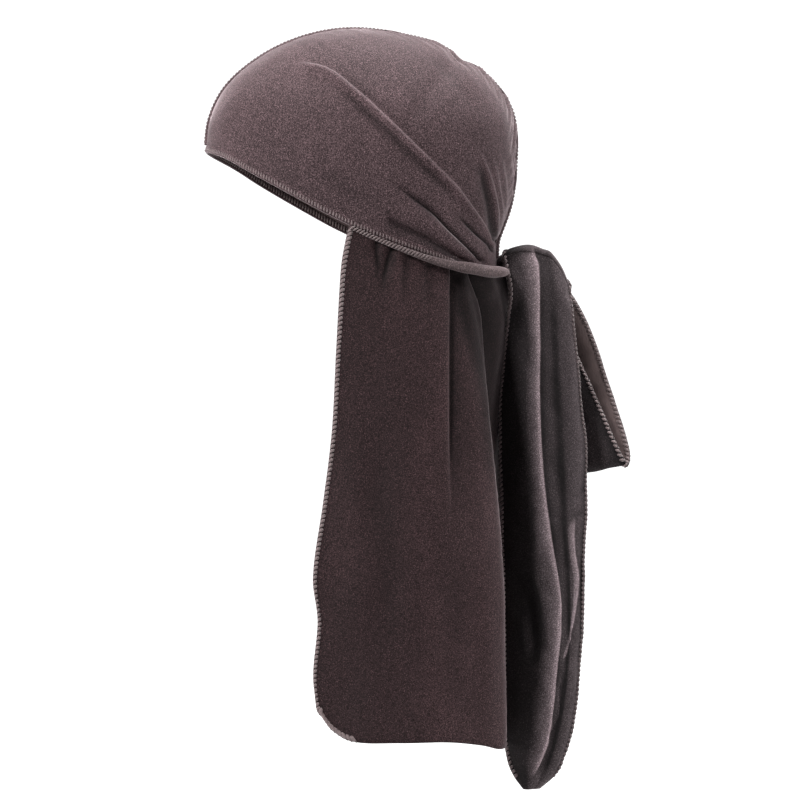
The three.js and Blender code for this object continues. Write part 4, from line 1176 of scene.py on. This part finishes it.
def flap_velvet(looks):
    """The velvet of the flap, painted darker as shade, with more pale patches and with painted
    shade by its facing.
    """
    return finish(
        "velvet_flap", velvet, looks.flap_dark, looks.flap_light, brushed=0.6, sheen=0.45,
        combed=0.45)


def tail_velvet(looks):
    """The velvet of the tail, the bow and the knot, painted paler as the light on it, with painted
    shade by its facing and painted highlights along the crests of its folds.
    """
    return finish(
        "velvet_tail", velvet, looks.tail_dark, looks.tail_light, sheen=0.35, combed=0.85,
        gleam=7.0, deep=0.55)


def knit_back(looks):
    """The inner side of all the velvet."""
    return finish("knit_back", knit, looks.back)


def pale_thread(looks):
    """The thread of the hem, the flap, the ties and the bow."""
    return finish("thread_light", thread, looks.thread)


def dark_thread(looks):
    """The thread of the centre seam and the tail."""
    return finish("thread_dark", thread, looks.dark_thread)


# The camera looks level along -X from 2 m, and its picture is 512 mm wide at the middle plane. Its
# sensor's width is in millimetres. The lamps point at one place in the middle plane.
CAMERA_PLACE = (2.0, 0.0192, -0.1344)
PICTURE_WIDTH = 0.512
SENSOR_WIDTH = 36
LAMP_TARGET = (0, 0.02, -0.1)


def aim(place, target):
    """The turn that points a lamp or camera from one place to another, its picture upright."""
    return (Vector(target) - Vector(place)).to_track_quat("-Z", "Y").to_euler()


def floor_faces(level=-0.40, front=6.0, back=-2.0, bend=1.2, high=4.0, half_width=8):
    """The floor, level along X up to the back, where it bends up by a quarter circle into the
    backdrop."""
    turn = np.linspace(0, np.pi / 2, 16)
    run = np.concatenate([[front], back - bend * np.sin(turn), [back - bend]])
    rise = np.concatenate([[0.0], bend * (1 - np.cos(turn)), [high]])
    run, width = np.meshgrid(run, np.linspace(-half_width, half_width, 3), indexing="ij")
    grid = np.stack([run, width, level + np.repeat(rise[:, None], 3, 1)], axis=-1)
    ids = np.arange(grid[..., 0].size).reshape(grid.shape[:2])
    return grid.reshape(-1, 3), grid_faces(ids)[:, ::-1]


def pale_floor():
    """A matt pale material, which glows white behind the durag and not in front of it."""
    material, tree, shader = new_material("pale_floor", 0.9)
    shader.inputs["Base Color"].default_value = (0.22, 0.22, 0.22, 1)
    shader.inputs["Emission Color"].default_value = (1, 1, 1, 1)
    place = tree.nodes.new("ShaderNodeTexCoord")
    apart = tree.nodes.new("ShaderNodeSeparateXYZ")
    tree.links.new(place.outputs["Object"], apart.inputs["Vector"])
    glow = ramp_of(tree, apart.outputs["X"], 0.3, -0.1)
    tree.links.new(glow, shader.inputs["Emission Strength"])
    return material


class DURAG_OT_crown(bpy.types.Operator):
    """Both halves of the crown, with the folds that run into the nape gather"""

    bl_idname = "durag.crown"
    bl_label = "Crown"

    def execute(self, context):
        s, looks = context.scene.durag_sizes, context.scene.durag_looks
        cloth = [crown_velvet(looks), knit_back(looks)]
        for node, side, seed in (("crown_left", 1, 1), ("crown_right", -1, 2)):
            grid, shade_and_gleam = crown_grid(s, side, seed)
            piece = cloth_wall(node + "_velvet", grid, s.cloth, cloth, shade_and_gleam)
            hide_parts(node)
        return {"FINISHED"}


class DURAG_OT_seams(bpy.types.Operator):
    """The raised centre seam and the overlocked front hem"""

    bl_idname = "durag.seams"
    bl_label = "Centre seam and hem"

    def execute(self, context):
        s, looks = context.scene.durag_sizes, context.scene.durag_looks
        edging, light, cloth = dark_thread(looks), pale_thread(looks), crown_velvet(looks)
        rings, line, out, sway = centre_seam_rings(s)
        seam = lofted("centre_seam_ridge", rings, [cloth])
        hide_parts("centre_seam")
        spine = np.concatenate([sway[:, None], line], axis=1)
        lift = np.concatenate([np.zeros((len(out), 1)), out], axis=1)
        across = np.tile([1.0, 0, 0], (len(out), 1))
        stitches(
            "centre_seam_stitches", spine, across, lift, STITCH_RIDGE, edging, pitch=0.0024,
            reach=s.seam_width * 0.5, radius=s.stitch * 0.6, lift=s.seam_rise, slant=1.2,
            flat=1.7)
        grid = hem_grid(s)
        hem = cloth_wall("front_hem_strip", grid, s.cloth, [cloth])
        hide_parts("front_hem")
        into = unit(grid[:, -2] - grid[:, 1])
        stitches(
            "front_hem_stitches", grid[:, 1], into, grid_normals(grid)[:, 1], STITCH_OVER, light,
            pitch=0.0021, reach=s.hem_height * 0.95, radius=s.stitch * 0.75, lift=s.cloth * 0.6,
            slant=1.3, flat=1.35)
        return {"FINISHED"}


class DURAG_OT_flap(bpy.types.Operator):
    """The long neck flap with its gathers, pleats and stitched front edges"""

    bl_idname = "durag.flap"
    bl_label = "Neck flap"

    def execute(self, context):
        s, looks = context.scene.durag_sizes, context.scene.durag_looks
        cloth = [flap_velvet(looks), knit_back(looks)]
        grid, across, shade_and_gleam = flap_grid(s)
        flap = cloth_wall("neck_flap_velvet", grid, s.cloth, cloth, shade_and_gleam)
        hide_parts("neck_flap")
        edging = pale_thread(looks)
        normals = grid_normals(grid)
        reach = np.argmax(across[:, 0] > 0.13)
        for name, column, inside, corner in (
            ("right", 0, 1, np.s_[1:reach]),
            ("left", -1, -2, np.s_[-2:-reach - 1:-1]),
        ):
            edge = np.concatenate([grid[column], grid[corner, -1]])
            side, foot = grid[inside] - grid[column], grid[corner, -2] - grid[corner, -1]
            into = smoothed(unit(np.concatenate([side, foot])), 6)
            out = np.concatenate([normals[column], normals[corner, -1]])
            stitches(
                name + "_flap_stitches", edge, into, out, STITCH_OVER, edging, pitch=0.0029,
                reach=0.0027, radius=s.stitch, lift=s.cloth * 0.6, slant=2.0, flat=1.9)
        return {"FINISHED"}


class DURAG_OT_ties(bpy.types.Operator):
    """The two rolled ties and the wrapped knot at the nape"""

    bl_idname = "durag.ties"
    bl_label = "Rolled ties and knot"

    def execute(self, context):
        s, looks = context.scene.durag_sizes, context.scene.durag_looks
        roll = finish("rolled_tie", velvet, brighter(looks.band, 0.45), looks.band, brushed=0.2)
        for node, side in (("left_tie_band", 1), ("right_tie_band", -1)):
            band = lofted(node + "_roll", band_rings(s, side), [roll])
            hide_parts(node)
            line, down, out = band_row(s, side)
            stitches(
                node + "_stitches", line, down, out, STITCH_RIDGE, pale_thread(looks), pitch=0.0021,
                reach=0.0015, radius=s.stitch * 0.7, lift=0.0007, slant=1.1, flat=1.2)
        # The knot's pieces carry no facing attribute, so the tail velvet's painted facing shade
        # darkens them all over.
        pile = [tail_velvet(looks)]
        pieces = [
            lofted("knot_wrap", wrap_rings(s, 38, 0.43, 0.44, 0.3, 0.0026), pile, closed=True),
            lofted("knot_under", wrap_rings(s, -52, 0.37, 0.38, 0.34, 0.0028), pile, closed=True),
            lofted("knot_core", knot_core(s), pile),
            lofted("knot_cross", cross_rings(s), pile),
        ]
        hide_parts("knot")
        return {"FINISHED"}


class DURAG_OT_ends(bpy.types.Operator):
    """The hanging tail and the bow loop, with their stitched edges"""

    bl_idname = "durag.ends"
    bl_label = "Tail and bow"

    def execute(self, context):
        s, looks = context.scene.durag_sizes, context.scene.durag_looks
        cloth = [tail_velvet(looks), knit_back(looks)]
        edging, light = dark_thread(looks), pale_thread(looks)
        tail, shade_and_gleam = tail_grid(s)
        turn = 1 if grid_normals(tail)[:, 60:, 0].mean() > 0 else -1
        tail = tail[::turn]
        piece = cloth_wall("long_tail_velvet", tail, s.cloth, cloth, shade_and_gleam[::turn])
        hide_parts("long_tail")
        loop = loop_grid(s)
        piece = cloth_wall("bow_loop_velvet", loop[:, ::-1], s.cloth, cloth)
        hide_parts("bow_loop")
        for name, grid, material, pitch, reach in (
            ("long_tail", tail, edging, 0.003, 0.0023),
            ("bow_loop", loop[6:-6, ::-1].swapaxes(0, 1), light, 0.0031, 0.0028),
        ):
            normals = grid_normals(grid)
            for column, inside in ((0, 1), (-1, -2)):
                into = smoothed(unit(grid[inside] - grid[column]), 16)[:-5]
                stitches(
                    f"{name}_stitches_{abs(column)}", grid[column, :-5], into,
                    normals[column, :-5], STITCH_OVER, material, pitch, reach, s.stitch,
                    lift=s.cloth * 0.6, slant=1.3, flat=1.8)
        return {"FINISHED"}


class DURAG_OT_stage(bpy.types.Operator):
    """Pale floor with a curved backdrop, soft lights and the camera"""

    bl_idname = "durag.stage"
    bl_label = "Stage"

    def execute(self, context):
        looks = context.scene.durag_looks
        make_piece("floor", *floor_faces(), [pale_floor()])
        world = bpy.data.worlds.new("studio")
        world.use_nodes = True
        background = world.node_tree.nodes["Background"]
        background.inputs["Color"].default_value = (1, 1, 1, 1)
        background.inputs["Strength"].default_value = looks.fill
        context.scene.world = world
        for name, place, power, size in (
            ("top_light", (-0.3, 0.2, 1.7), looks.key_power, 0.5),
            ("front_light", (1.4, -0.95, 1.0), looks.front_power, 0.35),
            ("face_light", (0.4, -1.8, 0.3), looks.rim_power * 2, 0.4),
            ("nape_light", (0.3, 1.8, 0.3), looks.rim_power, 0.5),
            ("back_light", (0.5, 1.2, 1.3), looks.rim_power * 1.3, 0.5),
        ):
            lamp = bpy.data.lights.new(name, "AREA")
            lamp.energy = power
            lamp.size = size
            holder = bpy.data.objects.new(name, lamp)
            holder.location = place
            holder.rotation_euler = aim(place, LAMP_TARGET)
            context.collection.objects.link(holder)
        camera = bpy.data.objects.new("camera", bpy.data.cameras.new("camera"))
        camera.location = CAMERA_PLACE
        camera.rotation_euler = aim(CAMERA_PLACE, (0, *CAMERA_PLACE[1:]))
        camera.data.sensor_width = SENSOR_WIDTH
        camera.data.lens = SENSOR_WIDTH * CAMERA_PLACE[0] / PICTURE_WIDTH
        context.collection.objects.link(camera)
        context.scene.camera = camera
        context.scene.view_settings.view_transform = "Standard"
        return {"FINISHED"}


class DURAG_PT_panel(bpy.types.Panel):
    """The durag's sizes, colours and steps"""

    bl_label = "Durag"
    bl_idname = "DURAG_PT_panel"
    bl_space_type = "VIEW_3D"
    bl_region_type = "UI"
    bl_category = "Durag"

    def draw(self, context):
        for group in (context.scene.durag_sizes, context.scene.durag_looks):
            box = self.layout.box()
            for name in group.__annotations__:
                box.prop(group, name)
        for operator in STEPS:
            self.layout.operator(operator.bl_idname)


STEPS = (
    DURAG_OT_crown, DURAG_OT_seams, DURAG_OT_flap, DURAG_OT_ties, DURAG_OT_ends, DURAG_OT_stage,
)
CLASSES = (DuragSizes, DuragLooks, *STEPS, DURAG_PT_panel)


def register():
    for entry in CLASSES:
        bpy.utils.register_class(entry)
    bpy.types.Scene.durag_sizes = bpy.props.PointerProperty(type=DuragSizes)
    bpy.types.Scene.durag_looks = bpy.props.PointerProperty(type=DuragLooks)


def unregister():
    del bpy.types.Scene.durag_looks
    del bpy.types.Scene.durag_sizes
    for entry in reversed(CLASSES):
        bpy.utils.unregister_class(entry)


def main():
    register()
    bpy.ops.durag.crown()
    bpy.ops.durag.seams()
    bpy.ops.durag.flap()
    bpy.ops.durag.ties()
    bpy.ops.durag.ends()
    bpy.ops.durag.stage()


if __name__ == "__main__":
    main()
